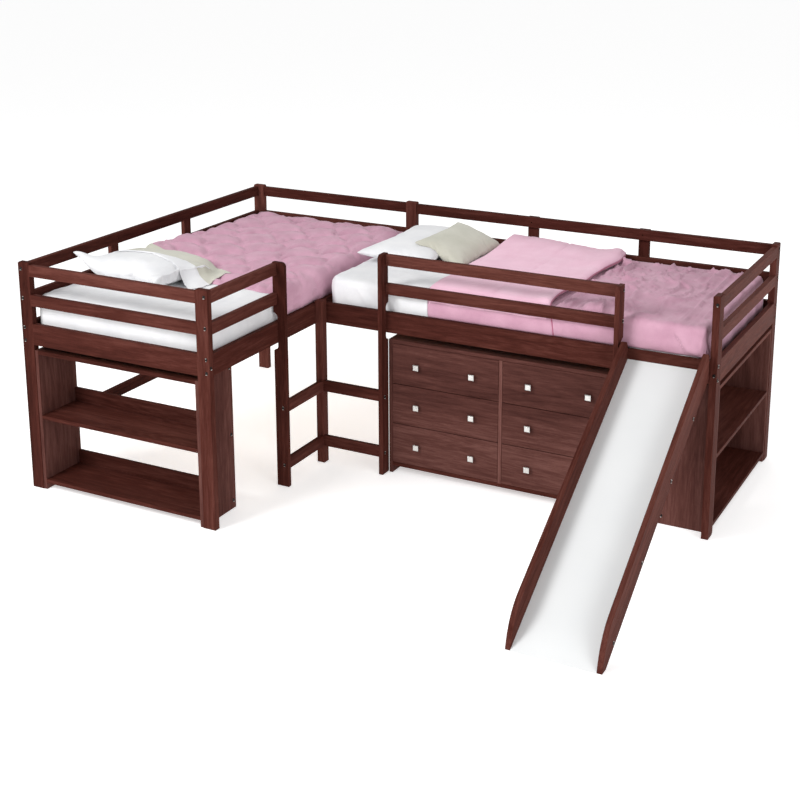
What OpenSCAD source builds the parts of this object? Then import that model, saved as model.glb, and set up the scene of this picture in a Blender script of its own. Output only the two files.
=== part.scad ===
// L shaped bunk bed: two low loft beds at a right angle, with a slide, two short
// ladders, a six drawer dresser, two bookcases, mattresses, pillows and quilts.
// Bed A runs front to back on the left, bed B runs to the right along the back.
// Millimetres, +Z up, +X along bed B, +Y to the back. The origin is on the floor,
// below the middle of the whole object.

/* [Beds] */
// Outside length of each bed
bed_l = 1994; // [1970:1:2100]
// Outside width of each bed
bed_w = 1067; // [1055:1:1150]
// Height of the corner posts
post_h = 1124; // [1110:1:1250]
// Broad side of a corner post
post_w = 64; // [55:1:80]
// Thin side of a corner post
post_t = 32; // [28:1:45]
// Bevel round a post's top
post_bevel = 4; // [1:0.5:8]

/* [Rails] */
// Height of a guard or wall rail
rail_h = 54; // [40:1:64]
// Thickness of every rail and board
rail_t = 24; // [18:1:28]
// Drop of the top rail below the post's top
rail_drop = 11; // [4:1:20]
// Open height between the top rail and the second rail
rail_gap = 89; // [70:1:110]
// Height of a side rail or end board
board_h = 102; // [90:1:115]
// Open height between the second rail and the side rail
low_gap = 88; // [70:1:110]
// Side rails and guard rails lie this far inside the posts' outer faces
rail_inset = 4; // [0:0.5:8]
// Underside of the low stretcher on each wall side
stretcher_z = 256; // [150:1:400]
// Width of a short upright on the wall side
upright_w = 56; // [40:1:70]
// Thickness of a short upright
upright_t = 22; // [16:1:28]
// Distance between the two uprights of a wall side
upright_pitch = 614; // [400:1:800]
// Bed A's uprights end this far below the top rail's top
upright_drop_a = 12; // [0:1:30]
// Bed B's uprights end this far below the top rail's top
upright_drop_b = 2; // [0:1:30]

/* [Ladders] */
// Clear width between a ladder post and the inner corner post
ladder_w = 312; // [280:1:360]
// The ladder's outer face stands this far outside the bed
ladder_out = 37; // [30:1:48]
// Part of a ladder post that reaches inside the bed's outline
ladder_in = 27; // [25:1:34]
// Thickness of a ladder post
ladder_t = 22; // [18:1:28]
// Drop of a ladder post's top below the corner posts
ladder_drop = 6; // [0:1:12]
// Radius of a ladder post's outer top corner
ladder_round = 22; // [8:1:30]
// Thickness of a rung
rung_t = 22; // [16:1:26]
// Underside of the lowest rung
rung_z = 92; // [60:1:140]
// Height from one rung to the next
rung_pitch = 290; // [240:1:300]
// The inner corner post stands above the side rails by this much
corner_rise = 17; // [0:1:40]
// The notch in a ladder post passes the side rail by this much above
notch_over = 21; // [4:1:40]
// The notch in a ladder post passes the side rail by this much below
notch_under = 16; // [4:1:30]
// The guard post at the slide ends this far below its notch
guard_foot = 4; // [2:1:12]

/* [Bed base] */
// Height of the cleats that carry the slats
cleat_h = 25; // [18:1:30]
// Width of a cleat
cleat_t = 22; // [16:1:30]
// A cleat lies this far above the side rail's underside
cleat_rise = 5; // [0:1:12]
// A cleat stops this far short of the bed's ends
cleat_short = 28; // [10:1:60]
// Width of a slat
slat_w = 70; // [50:1:90]
// Thickness of a slat
slat_t = 19; // [14:1:24]
// Number of slats in each bed
slat_n = 12; // [8:1:16]
// End gap of a slat to the side rail
slat_clear = 1; // [0.5:0.5:4]
// Gap between a mattress's end and the posts
mattress_end_gap = 12.5; // [8:0.5:30]
// Gap between a mattress's side and the side rails
mattress_side_gap = 10; // [9:0.5:20]
// Thickness of a mattress at its edge
mattress_t = 173; // [150:1:200]
// Crown of a mattress's top
mattress_crown = 4; // [0:0.5:8]

/* [Slide] */
// Clear opening for the slide between the guard post and the end post
slide_opening = 404; // [398:1:430]
// Clear width between the slide's side boards
slide_w = 347; // [320:1:350]
// Thickness of a slide board
slide_board_t = 22; // [16:1:23]
// Gap between the slide and the end post
slide_gap = 2; // [1:0.5:4]
// Slope of the slide in degrees
slide_angle = 31.7; // [29:0.1:35]
// The sliding surface meets the bed this far above the side rail's underside
slide_up = 54; // [38:1:64]
// Height of a side board above the sliding surface
slide_lip = 93; // [60:1:96]
// Depth of a side board below the sliding surface
slide_under = 24; // [18:1:30]
// Thickness of the sliding panel
slide_panel_t = 10; // [6:1:16]
// The foot is cut back from the surface's end by this much
slide_toe = 5; // [1:1:20]
// Distance up the slope at which a side board's nose turns into its upper edge
nose_start = 93; // [70:1:120]
// Length of the rounded nose along a side board's upper edge
nose_l = 107; // [80:1:160]
// Length of the rounded crest at a side board's upper end
crest_l = 42; // [30:1:60]
// A side board's upper end lies this far below the side rail's top
slide_head_drop = 2; // [0:0.5:6]
// Thickness of the steel hooks on the side rail
hook_t = 3; // [2:0.5:3]
// Width of a hook
hook_w = 20; // [14:1:22]
// Length of a hook's inner leg
hook_leg = 40; // [25:1:60]

/* [Bookcases] */
// Gap between a bookcase's top and the end board above it
bookcase_under = 26; // [20:1:80]
// Depth of a bookcase
bookcase_d = 255; // [200:1:300]
// Side gap between a bookcase and the posts
bookcase_clear = 1; // [0.5:0.5:3]
// A bookcase stands this far behind the bed's outer face
bookcase_setback = 3; // [0:1:10]
// Thickness of the panels of the bookcases and the dresser
panel_t = 18; // [15:1:20]
// Underside of a bookcase's bottom shelf
plinth_h = 32; // [20:1:60]
// Underside of a bookcase's middle shelf
mid_shelf_z = 358; // [300:1:400]
// Height of the lip along the back of a shelf
lip_h = 64; // [40:1:90]

/* [Dresser] */
// The dresser's right side ends this far short of the slide's left side
dresser_short = 4; // [1:1:40]
// Depth of the dresser
dresser_d = 400; // [380:1:500]
// Gap between the dresser's top and the side rail above it
dresser_under = 36; // [21:1:80]
// Gap between the ladder post and the dresser
dresser_gap = 8; // [2:1:9]
// The dresser stands this far behind the bed's outer face
dresser_setback = 17; // [10:1:30]
// Underside of the dresser's bottom panel
dresser_foot = 38; // [30:1:60]
// Thickness of the dresser's back
dresser_back_t = 6; // [4:1:9]
// Gap round a drawer front
front_gap = 2; // [1:0.5:3]
// Thickness of a drawer front
front_t = 18; // [15:1:22]
// Gap between a drawer box and the dresser's back
box_behind = 26; // [6:1:80]
// Height of a drawer box
box_h = 140; // [110:1:150]
// Thickness of a drawer box's sides
box_wall = 12; // [9:1:15]
// Thickness of a drawer's bottom
box_floor = 6; // [4:1:9]
// Gap between a drawer box and the case
box_clear = 3; // [2:0.5:5]
// Height of a drawer runner
runner_h = 14; // [10:1:18]
// Width of a drawer runner
runner_w = 24; // [16:1:30]
// Running gap between a drawer box and its runner
runner_clear = 0.3; // [0.2:0.1:0.6]
// Side of a square drawer knob
knob_w = 29; // [22:1:36]
// Thickness of a knob's head
knob_t = 9; // [6:1:14]
// Length of a knob's neck
knob_neck = 13; // [8:1:18]
// Radius of a knob's neck
knob_neck_r = 6; // [4:0.5:8]
// Bevel round a knob's face
knob_bevel = 3; // [1:0.5:4]
// Distance between the two knobs of a drawer
knob_pitch = 294; // [200:1:400]

/* [Bolts] */
// Radius of a bolt's cap
cap_r = 7.5; // [5:0.5:9]
// Height of a bolt's cap
cap_h = 2.4; // [1.5:0.1:3.5]
// Bevel round a bolt's cap
cap_bevel = 2; // [0.5:0.5:3]
// Radius of a bolt's shank
shank_r = 3; // [2:0.5:4]
// Length of a bolt's shank
shank_l = 62; // [48:1:80]
// Length of the shank of a panel or slide screw
screw_l = 30; // [24:1:34]
// Length of an end board's bolt beyond the post that it goes through
end_bolt_in = 40; // [20:1:60]
// Radial gap round a shank in its hole
shank_clear = 0.2; // [0.1:0.1:0.5]
// The upper and lower bolt of a side rail lie this far from its middle
board_bolt = 32; // [15:1:36]
// An end board's bolt lies this far below its middle
end_bolt_down = 9; // [0:1:14]
// A guard rail's bolt lies this far above its middle
rail_bolt_up = 7; // [0:1:12]
// A rung's bolt lies this far below its middle
rung_bolt_down = 8; // [0:1:12]
// A bookcase's screws lie this far from its back edge
shelf_screw_in = 20; // [10:1:60]

/* [Bedding] */
// Gap between a soft piece and what it lies on
soft_gap = 0.4; // [0.3:0.1:0.8]
// Length of bed A's white pillow
white_a_l = 565; // [500:1:580]
// Width of bed A's white pillow
white_a_w = 400; // [360:1:430]
// Thickness of bed A's white pillow in its middle
white_a_t = 130; // [110:1:140]
// The middle of bed A's white pillow, from the mattress's head end
white_a_in = 445.5; // [430:0.5:470]
// The same pillow's middle, from the mattress's edge on the wall side
white_a_side = 287; // [284:0.5:320]
// Height of the same pillow's middle plane above the mattress
white_a_up = 58; // [50:1:66]
// Length of bed A's sage pillow
sage_a_l = 540; // [480:1:580]
// Width of bed A's sage pillow
sage_a_w = 380; // [340:1:400]
// Thickness of bed A's sage pillow in its middle
sage_a_t = 90; // [70:1:110]
// The middle of bed A's sage pillow, from the mattress's head end
sage_a_in = 675; // [660:0.5:700]
// The same pillow's middle, from the mattress's edge on the wall side
sage_a_side = 292; // [290:0.5:330]
// Height of the same pillow's middle plane above the mattress
sage_a_up = 44; // [36:1:56]
// Length of bed B's white pillow
white_b_l = 640; // [580:1:680]
// Width of bed B's white pillow
white_b_w = 430; // [380:1:432]
// Thickness of bed B's white pillow in its middle
white_b_t = 130; // [110:1:140]
// The middle of bed B's white pillow, from the mattress's head end
white_b_in = 216.5; // [216:0.5:225]
// The same pillow's middle, from the mattress's edge on the wall side
white_b_side = 391; // [345:0.5:420]
// Height of the same pillow's middle plane above the mattress
white_b_up = 55; // [50:1:62]
// Length of bed B's small sage pillow
sage_b_l = 500; // [420:1:520]
// Width of bed B's small sage pillow
sage_b_w = 270; // [240:1:280]
// Thickness of bed B's small sage pillow in its middle
sage_b_t = 100; // [80:1:110]
// The middle of bed B's sage pillow, from the mattress's head end
sage_b_in = 411; // [400:0.5:412]
// The same pillow's middle, from the mattress's edge on the wall side
sage_b_side = 346; // [320:0.5:380]
// Height of the same pillow's middle plane above the mattress
sage_b_up = 62; // [56:1:70]
// Gap between a pillow and a quilt below it
pillow_over_quilt = 1.3; // [1.2:0.1:3]
// Thickness of a quilt on the mattress
quilt_t = 22; // [15:1:30]
// Thickness of a quilt where it hangs
quilt_side_t = 7; // [5:0.5:7]
// Height of the quilt's main folds
quilt_fold = 9; // [4:1:12]
// Distance from one main fold to the next
fold_pitch = 172; // [120:1:260]
// Depth of the hollows between a quilt's stitched lines
quilt_hollow = 4; // [1:0.5:6]
// Length of the part of quilt B that is folded back
fold_back_l = 630; // [400:1:800]
// Quilt B starts this far from the mattress's left end
quilt_b_start = 556; // [500:1:640]
// Quilt A starts this far from the mattress's front end
quilt_a_start = 560; // [545:1:700]
// Quilt A ends this far short of the mattress's foot end
quilt_short = 12; // [6:1:40]
// A quilt starts this far from the mattress's edge on the wall side
quilt_wall_in = 12; // [6:1:40]
// A quilt's hem hangs this far above the side rail's top
quilt_hem_up = 6; // [3:1:30]

/* [Hidden] */
$fn = 48;

// Colours as in the photograph
wood = [0.33, 0.17, 0.15];
dark_wood = [0.24, 0.12, 0.10];
pine = [0.80, 0.66, 0.48];
nickel = [0.80, 0.80, 0.80];
slide_white = [0.93, 0.93, 0.93];
linen = [0.96, 0.96, 0.97];
pink = [0.90, 0.72, 0.79];
sage = [0.80, 0.80, 0.74];

// Heights
rail_top = post_h - rail_drop;
rail_low = rail_top - rail_h - rail_gap;
board_top = rail_low - rail_h - low_gap;
board_z = board_top - board_h;
slat_z = board_z + cleat_rise + cleat_h;
mattress_z = slat_z + slat_t;
mattress_top = mattress_z + mattress_t;

// Places in the plan, from bed A's front left corner
right_x = bed_w + bed_l;
front_b = bed_l - bed_w;
inner_a = bed_w - rail_inset;
inner_b = front_b + rail_inset;
wall_y = bed_l - rail_inset;
ladder_x = bed_w + ladder_out;
ladder_y = front_b - ladder_out;
ladder_depth = ladder_in + ladder_out;
ladder_a_y = ladder_y - ladder_w - ladder_t;
ladder_b_x = ladder_x + ladder_w;
guard_x = right_x - post_t - slide_opening - ladder_t;
notch_d = ladder_in - rail_inset;
ladder_top = post_h - ladder_drop;
mid_a = bed_l / 2;
mid_b = bed_w + (bed_l - 2 * rail_inset) / 2;

// Mattresses
mattress_l = bed_l - 2 * post_t - 2 * mattress_end_gap;
mattress_w = bed_w - 2 * rail_inset - 2 * rail_t - 2 * mattress_side_gap;

// Slide
slide_entry_z = board_z + slide_up;
slide_x1 = right_x - post_t - slide_gap;
slide_x0 = slide_x1 - slide_w - 2 * slide_board_t;
surface_y = front_b - slide_entry_z / tan(slide_angle);
foot_y = surface_y + slide_toe;
slide_end_y = inner_b - hook_t;
// The crest's curve is drawn towards a point this far in front of its end and
// this far below the upper edge's line
crest_pull = [6, 4];
nose_steps = 8;
crest_steps = 6;

// Dresser
dresser_x = ladder_b_x + ladder_t + dresser_gap;
dresser_y = front_b + dresser_setback;
dresser_w = slide_x0 - dresser_short - dresser_x;
dresser_h = board_z - dresser_under;
column_w = (dresser_w - 3 * panel_t) / 2;
row_z = dresser_foot + panel_t;
row_h = (dresser_h - panel_t - row_z) / 3;
inside_d = dresser_d - dresser_back_t;
box_l = inside_d - front_t - box_behind;

// The origin lies below the middle of the object's box
low_x = rail_inset - upright_t - cap_h;
high_x = right_x + cap_h;
high_y = wall_y + upright_t + cap_h;
shift = [-(low_x + high_x) / 2, -(foot_y + high_y) / 2, 0];

// Bolts: each is a place on the wood's face and the direction of its head
rail_bolts = [for (top = [rail_top, rail_low]) top - rail_h / 2 + rail_bolt_up];
board_bolts = [board_z + board_h / 2 + board_bolt, board_z + board_h / 2 - board_bolt];
post_bolts = concat(rail_bolts, board_bolts);
bolt_in = rail_inset + rail_t / 2;
rung_bolts = [for (z = [rung_z + rung_pitch, rung_z]) z + rail_h / 2 - rung_bolt_down];
bed_bolts = concat(
    [for (x = [bolt_in, bed_w - bolt_in], z = post_bolts) [[x, 0, z], [0, -1, 0]]],
    [for (z = post_bolts) [[bolt_in, bed_l, z], [0, 1, 0]]],
    [for (z = board_bolts) [[bed_w - bolt_in, bed_l, z], [0, 1, 0]]],
    [for (z = post_bolts) [[right_x, bed_l - bolt_in, z], [1, 0, 0]]],
    [for (z = board_bolts) [[right_x, front_b + bolt_in, z], [1, 0, 0]]],
    [for (z = rung_bolts) [[ladder_x - rung_t, ladder_a_y, z], [0, -1, 0]]],
    [for (z = rung_bolts)
        [[ladder_b_x + ladder_t, ladder_y + rung_t, z], [1, 0, 0]]],
    [for (z = rail_bolts)
        [[guard_x + ladder_t, inner_b + rail_t / 2, z], [1, 0, 0]]]);
end_z = board_z + board_h / 2 - end_bolt_down;
end_shank_l = post_w + end_bolt_in;
end_bolts = concat(
    [for (y = [rail_t / 2, bed_l - rail_t / 2]) [[0, y, end_z], [-1, 0, 0]]],
    [[[bed_w, rail_t / 2, end_z], [1, 0, 0]]],
    [for (z = [rail_top - rail_h / 2, end_z])
        each [[[right_x - rail_t / 2, front_b, z], [0, -1, 0]],
            [[right_x - rail_t / 2, bed_l, z], [0, 1, 0]]]]);
upright_bolts = [rail_top - rail_h / 2, rail_low - rail_h / 2, board_z + board_h / 2];
wall_screws = concat(
    [for (s = [-1, 1], z = upright_bolts)
        [[rail_inset - upright_t, mid_a + s * upright_pitch / 2, z], [-1, 0, 0]]],
    [for (s = [-1, 1], z = upright_bolts)
        [[mid_b + s * upright_pitch / 2, wall_y + upright_t, z], [0, 1, 0]]]);
bookcase_h = board_z - bookcase_under;
shelf_zs = [plinth_h, mid_shelf_z, bookcase_h - panel_t];
bookcase_a_at = [post_w + bookcase_clear, bookcase_setback];
bookcase_w = bed_w - 2 * post_w - 2 * bookcase_clear;
case_screws = concat(
    [for (s = [0, 1], z = shelf_zs)
        [[bookcase_a_at[0] + s * bookcase_w,
            bookcase_setback + bookcase_d - shelf_screw_in, z + panel_t / 2],
            [2 * s - 1, 0, 0]]],
    [for (s = [0, 1], z = shelf_zs)
        [[right_x - bookcase_setback - bookcase_d + shelf_screw_in,
            front_b + post_w + bookcase_clear + s * bookcase_w, z + panel_t / 2],
            [0, 2 * s - 1, 0]]]);
// Places of the slide's screws up the slope
slide_bolt_s = [140, 500, 900, 1230];
slide_screws = [for (side = [0, 1], s = slide_bolt_s)
    [[side == 0 ? slide_x0 : slide_x1,
        surface_y + s * cos(slide_angle) + slide_panel_t / 2 * sin(slide_angle),
        s * sin(slide_angle) - slide_panel_t / 2 * cos(slide_angle)],
        [2 * side - 1, 0, 0]]];

// ---------- helpers ----------

// A cut runs past a face by this much
over = 1;

// Turns +Z towards a direction along an axis
module point_to(dir) {
    rotate([0, acos(dir[2]), atan2(dir[1], dir[0])]) children();
}

// The holes that the bolts' shanks run in
module bolt_holes(list, length) {
    for (b = list)
        translate(b[0]) point_to(b[1]) translate([0, 0, -length - over])
            cylinder(h = length + 2 * over, r = shank_r + shank_clear);
}

// Wood with its bolt holes
module drilled(list, length) {
    difference() {
        children();
        bolt_holes(list, length);
    }
}

module bolt(place, dir, length) {
    translate(place) point_to(dir) {
        cylinder(h = cap_h, r1 = cap_r, r2 = cap_r - cap_bevel);
        translate([0, 0, -length]) cylinder(h = length, r = shank_r);
    }
}

module board(from, size) {
    translate(from) cube(size);
}

// A board that stands on end, with a bevel round its top
module post(x, y, w, d, h) {
    translate([x, y, 0]) {
        cube([w, d, h - post_bevel]);
        translate([post_bevel, post_bevel, 0])
            cube([w - 2 * post_bevel, d - 2 * post_bevel, h]);
        translate([0, 0, h - post_bevel])
            bevel_cap(w, d, post_bevel);
    }
}

// Low hipped cap, as wide as its post below and smaller by b above
module bevel_cap(w, d, b) {
    polyhedron(
        points = [[0, 0, 0], [w, 0, 0], [w, d, 0], [0, d, 0],
            [b, b, b], [w - b, b, b], [w - b, d - b, b], [b, d - b, b]],
        faces = [[0, 1, 2, 3], [7, 6, 5, 4], [0, 4, 5, 1],
            [1, 5, 6, 2], [2, 6, 7, 3], [3, 7, 4, 0]]);
}

// ---------- bed frames ----------

module bed_posts() color(wood) translate(shift)
    drilled(bed_bolts, shank_l) drilled(end_bolts, end_shank_l) {
        for (x = [0, bed_w - post_w], y = [0, bed_l - post_t])
            post(x, y, post_w, post_t, post_h);
        for (y = [front_b, bed_l - post_w])
            post(right_x - post_t, y, post_t, post_w, post_h);
    }

module corner_post() color(wood) translate(shift)
    board([inner_a, ladder_y, 0],
        [ladder_x - inner_a, inner_b - ladder_y, board_top + corner_rise]);

// Side view of a ladder post: x from its inner edge outwards, y up
module ladder_profile(bottom) {
    low = board_z - notch_under;
    high = board_top + notch_over;
    difference() {
        translate([0, bottom]) square([ladder_depth, ladder_top - bottom]);
        translate([-over, low]) square([notch_d + over, high - low]);
        translate([0, high]) circle(notch_d);
        translate([0, low]) circle(notch_d);
        translate([ladder_depth - ladder_round, ladder_top - ladder_round])
            difference() {
                square(ladder_round + over);
                circle(ladder_round);
            }
    }
}

// A ladder post of bed B's front side, its left face at x
module ladder_post_b(x, bottom) {
    translate([x, ladder_y + ladder_depth, 0]) rotate([90, 0, -90]) mirror([0, 0, 1])
        linear_extrude(ladder_t) ladder_profile(bottom);
}

module ladder_posts() color(wood) translate(shift) drilled(bed_bolts, shank_l) {
    translate([bed_w - ladder_in, ladder_a_y + ladder_t, 0]) rotate([90, 0, 0])
        linear_extrude(ladder_t) ladder_profile(0);
    ladder_post_b(ladder_b_x, 0);
}

module guard_post() color(wood) translate(shift) drilled(bed_bolts, shank_l)
    ladder_post_b(guard_x, board_z - notch_under - guard_foot);

// Top and second rail along x or y
module rail_pair(from, length, along) {
    for (top = [rail_top, rail_low])
        board([from[0], from[1], top - rail_h],
            along == "x" ? [length, rail_t, rail_h] : [rail_t, length, rail_h]);
}

module end_rails_front() color(wood) translate(shift)
    rail_pair([post_w, 0], bed_w - 2 * post_w, "x");

module end_rails_back() color(wood) translate(shift)
    rail_pair([post_w, bed_l - rail_t], bed_w - 2 * post_w, "x");

module end_rails_right() color(wood) translate(shift) drilled(end_bolts, end_shank_l)
    rail_pair([right_x - rail_t, front_b + post_w], bed_w - 2 * post_w, "y");

module end_boards() color(wood) translate(shift) drilled(end_bolts, end_shank_l) {
    for (y = [0, bed_l - rail_t])
        board([post_w, y, board_z], [bed_w - 2 * post_w, rail_t, board_h]);
    board([right_x - rail_t, front_b + post_w, board_z],
        [rail_t, bed_w - 2 * post_w, board_h]);
}

module guard_rails_a() color(wood) translate(shift) drilled(bed_bolts, shank_l)
    rail_pair([inner_a - rail_t, post_t], ladder_a_y - post_t, "y");

module guard_rails_b() color(wood) translate(shift) drilled(bed_bolts, shank_l)
    rail_pair([ladder_b_x + ladder_t, inner_b], guard_x - ladder_b_x - ladder_t, "x");

module wall_rails_a() color(wood) translate(shift)
    drilled(concat(bed_bolts, wall_screws), shank_l)
        rail_pair([rail_inset, post_t], bed_l - 2 * post_t, "y");

module wall_rails_b() color(wood) translate(shift)
    drilled(concat(bed_bolts, wall_screws), shank_l)
        rail_pair([bed_w, wall_y - rail_t], bed_l - post_t, "x");

module wall_uprights() color(wood) translate(shift) drilled(wall_screws, screw_l)
    for (s = [-1, 1]) {
        board([rail_inset - upright_t, mid_a + s * upright_pitch / 2 - upright_w / 2,
            board_z], [upright_t, upright_w, rail_top - upright_drop_a - board_z]);
        board([mid_b + s * upright_pitch / 2 - upright_w / 2, wall_y, board_z],
            [upright_w, upright_t, rail_top - upright_drop_b - board_z]);
    }

module side_rails_wall() color(wood) translate(shift)
    drilled(concat(bed_bolts, wall_screws), shank_l) {
        board([rail_inset, post_t, board_z], [rail_t, bed_l - 2 * post_t, board_h]);
        board([bed_w, wall_y - rail_t, board_z], [bed_l - post_t, rail_t, board_h]);
    }

module side_rail_a() color(wood) translate(shift) drilled(bed_bolts, shank_l)
    board([inner_a - rail_t, post_t, board_z], [rail_t, bed_l - 2 * post_t, board_h]);

module side_rail_b() color(wood) translate(shift) drilled(bed_bolts, shank_l)
    board([inner_a, inner_b, board_z], [right_x - post_t - inner_a, rail_t, board_h]);

module stretchers() color(wood) translate(shift) {
    board([rail_inset, post_t, stretcher_z], [rail_t, bed_l - 2 * post_t, rail_h]);
    board([bed_w, wall_y - rail_t, stretcher_z], [bed_l - post_t, rail_t, rail_h]);
}

module ladder_rungs() color(wood) translate(shift) drilled(bed_bolts, shank_l)
    for (i = [0, 1]) {
        z = rung_z + i * rung_pitch;
        board([ladder_x - rung_t, ladder_a_y + ladder_t, z],
            [rung_t, ladder_y - ladder_a_y - ladder_t, rail_h]);
        board([ladder_x, ladder_y, z], [ladder_w, rung_t, rail_h]);
    }

module slat_cleats() color(dark_wood) translate(shift) {
    z = board_z + cleat_rise;
    for (x = [rail_inset + rail_t, inner_a - rail_t - cleat_t])
        board([x, post_t + cleat_short, z],
            [cleat_t, bed_l - 2 * post_t - 2 * cleat_short, cleat_h]);
    for (y = [inner_b + rail_t, wall_y - rail_t - cleat_t])
        board([bed_w + cleat_short, y, z],
            [bed_l - post_t - 2 * cleat_short, cleat_t, cleat_h]);
}

module bed_slats() color(pine) translate(shift) {
    run_a = bed_l - 2 * post_t - 2 * cleat_short - slat_w;
    run_b = bed_l - post_t - 2 * cleat_short - slat_w;
    long = inner_a - 2 * rail_t - rail_inset - 2 * slat_clear;
    for (i = [0 : slat_n - 1]) {
        board([rail_inset + rail_t + slat_clear,
            post_t + cleat_short + i * run_a / (slat_n - 1), slat_z],
            [long, slat_w, slat_t]);
        board([bed_w + cleat_short + i * run_b / (slat_n - 1),
            inner_b + rail_t + slat_clear, slat_z], [slat_w, long, slat_t]);
    }
}

// ---------- bookcases ----------

// Puts a bookcase between bed A's front posts
module place_bookcase_a() {
    translate([bookcase_a_at[0], bookcase_a_at[1], 0]) children();
}

// Puts a bookcase between bed B's end posts, open to the right
module place_bookcase_b() {
    translate([right_x - bookcase_setback, front_b + post_w + bookcase_clear, 0])
        rotate([0, 0, 90]) children();
}

module bookcase_sides() {
    for (x = [0, bookcase_w - panel_t])
        board([x, 0, 0], [panel_t, bookcase_d, bookcase_h]);
}

module bookcase_shelves() {
    for (z = shelf_zs)
        board([panel_t, 0, z], [bookcase_w - 2 * panel_t, bookcase_d, panel_t]);
}

module bookcase_lips() {
    for (z = [plinth_h, mid_shelf_z])
        board([panel_t, bookcase_d - panel_t, z + panel_t],
            [bookcase_w - 2 * panel_t, panel_t, lip_h]);
}

module bookcase_a_sides() color(wood) translate(shift)
    drilled(case_screws, screw_l) place_bookcase_a() bookcase_sides();

module bookcase_a_shelves() color(wood) translate(shift)
    drilled(case_screws, screw_l) place_bookcase_a() bookcase_shelves();

module bookcase_b_sides() color(wood) translate(shift)
    drilled(case_screws, screw_l) place_bookcase_b() bookcase_sides();

module bookcase_b_shelves() color(wood) translate(shift)
    drilled(case_screws, screw_l) place_bookcase_b() bookcase_shelves();

module shelf_lips() color(wood) translate(shift) {
    place_bookcase_a() bookcase_lips();
    place_bookcase_b() bookcase_lips();
}

// ---------- dresser ----------

module in_dresser() {
    translate(shift) translate([dresser_x, dresser_y, 0]) children();
}

module dresser_sides() color(wood) in_dresser() {
    for (x = [0, dresser_w - panel_t])
        board([x, 0, 0], [panel_t, dresser_d, dresser_h - panel_t]);
    board([panel_t + column_w, 0, row_z], [panel_t, inside_d, dresser_h - panel_t - row_z]);
}

module dresser_top() color(wood) in_dresser()
    board([0, 0, dresser_h - panel_t], [dresser_w, dresser_d, panel_t]);

module dresser_base() color(wood) in_dresser()
    board([panel_t, 0, dresser_foot], [dresser_w - 2 * panel_t, inside_d, panel_t]);

module dresser_back() color(dark_wood) in_dresser()
    board([panel_t, inside_d, dresser_foot],
        [dresser_w - 2 * panel_t, dresser_back_t, dresser_h - panel_t - dresser_foot]);

// Drawers 1 to 3 are the left column from the bottom up, 4 to 6 the right column
module at_drawer(n) {
    column = floor((n - 1) / 3);
    row = (n - 1) % 3;
    in_dresser() translate([panel_t + column * (column_w + panel_t), 0,
        row_z + row * row_h]) children();
}

module drawer_runners() color(dark_wood)
    for (n = [1 : 6], side = [0, 1])
        at_drawer(n) board([side * (column_w - runner_w), front_t + front_gap, front_gap],
            [runner_w, inside_d - front_t - front_gap, runner_h]);

module drawer_front(n) color(wood) at_drawer(n)
    board([front_gap, 0, front_gap],
        [column_w - 2 * front_gap, front_t, row_h - 2 * front_gap]);

module drawer_box(n) color(pine) at_drawer(n)
    translate([box_clear, front_t, front_gap + runner_h + runner_clear]) {
        w = column_w - 2 * box_clear;
        difference() {
            cube([w, box_l, box_h]);
            translate([box_wall, box_wall, box_floor])
                cube([w - 2 * box_wall, box_l - 2 * box_wall, box_h]);
        }
    }

module drawer_knobs(n) color(nickel) at_drawer(n)
    for (s = [-1, 1])
        translate([column_w / 2 + s * knob_pitch / 2, 0, row_h / 2]) rotate([90, 0, 0]) {
            cylinder(h = knob_neck, r = knob_neck_r);
            translate([-knob_w / 2, -knob_w / 2, knob_neck]) {
                cube([knob_w, knob_w, knob_t - knob_bevel]);
                translate([0, 0, knob_t - knob_bevel])
                    bevel_cap(knob_w, knob_w, knob_bevel);
            }
        }

// ---------- slide ----------

// Point on the slope: s along the surface from its end, n square to it
function on_slope(s, n) = [surface_y + s * cos(slide_angle) - n * sin(slide_angle),
    s * sin(slide_angle) + n * cos(slide_angle)];
// Height of the line at n from the surface, at a place y
function slope_z(y, n) = (y - surface_y) * tan(slide_angle) + n / cos(slide_angle);
// Point of a curve from a to b, drawn towards c
function bow(a, c, b, t) = (1 - t) * (1 - t) * a + 2 * t * (1 - t) * c + t * t * b;

// Side view of a side board: x is the part's Y and y is its Z
module slide_profile() {
    nose_end = on_slope(nose_start + nose_l, slide_lip);
    nose_mid = on_slope(nose_start, slide_lip);
    crest_y = slide_end_y - crest_l;
    crest = [crest_y, slope_z(crest_y, slide_lip)];
    pull_y = slide_end_y - crest_pull[0];
    crest_mid = [pull_y, slope_z(pull_y, slide_lip) - crest_pull[1]];
    head = [slide_end_y, board_top - slide_head_drop];
    polygon(concat(
        [for (i = [0 : nose_steps]) bow([foot_y, 0], nose_mid, nose_end, i / nose_steps)],
        [for (i = [0 : crest_steps]) bow(crest, crest_mid, head, i / crest_steps)],
        [[slide_end_y, slope_z(slide_end_y, -slide_under)],
            [surface_y + slide_under / sin(slide_angle), 0]]));
}

// Stands a side view of the slide up, from x, w wide
module along_slide(x, w) {
    translate([x, 0, 0]) rotate([90, 0, 90]) linear_extrude(w) children();
}

module slide_sides() color(wood) translate(shift) drilled(slide_screws, screw_l) {
    along_slide(slide_x0, slide_board_t) slide_profile();
    along_slide(slide_x1 - slide_board_t, slide_board_t) slide_profile();
}

module slide_panel() color(slide_white) translate(shift) drilled(slide_screws, screw_l)
    along_slide(slide_x0 + slide_board_t, slide_w)
        polygon([[surface_y, 0],
            [surface_y + slide_panel_t / sin(slide_angle), 0],
            [inner_b, slope_z(inner_b, -slide_panel_t)],
            [inner_b, slope_z(inner_b, 0)]]);

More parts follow.
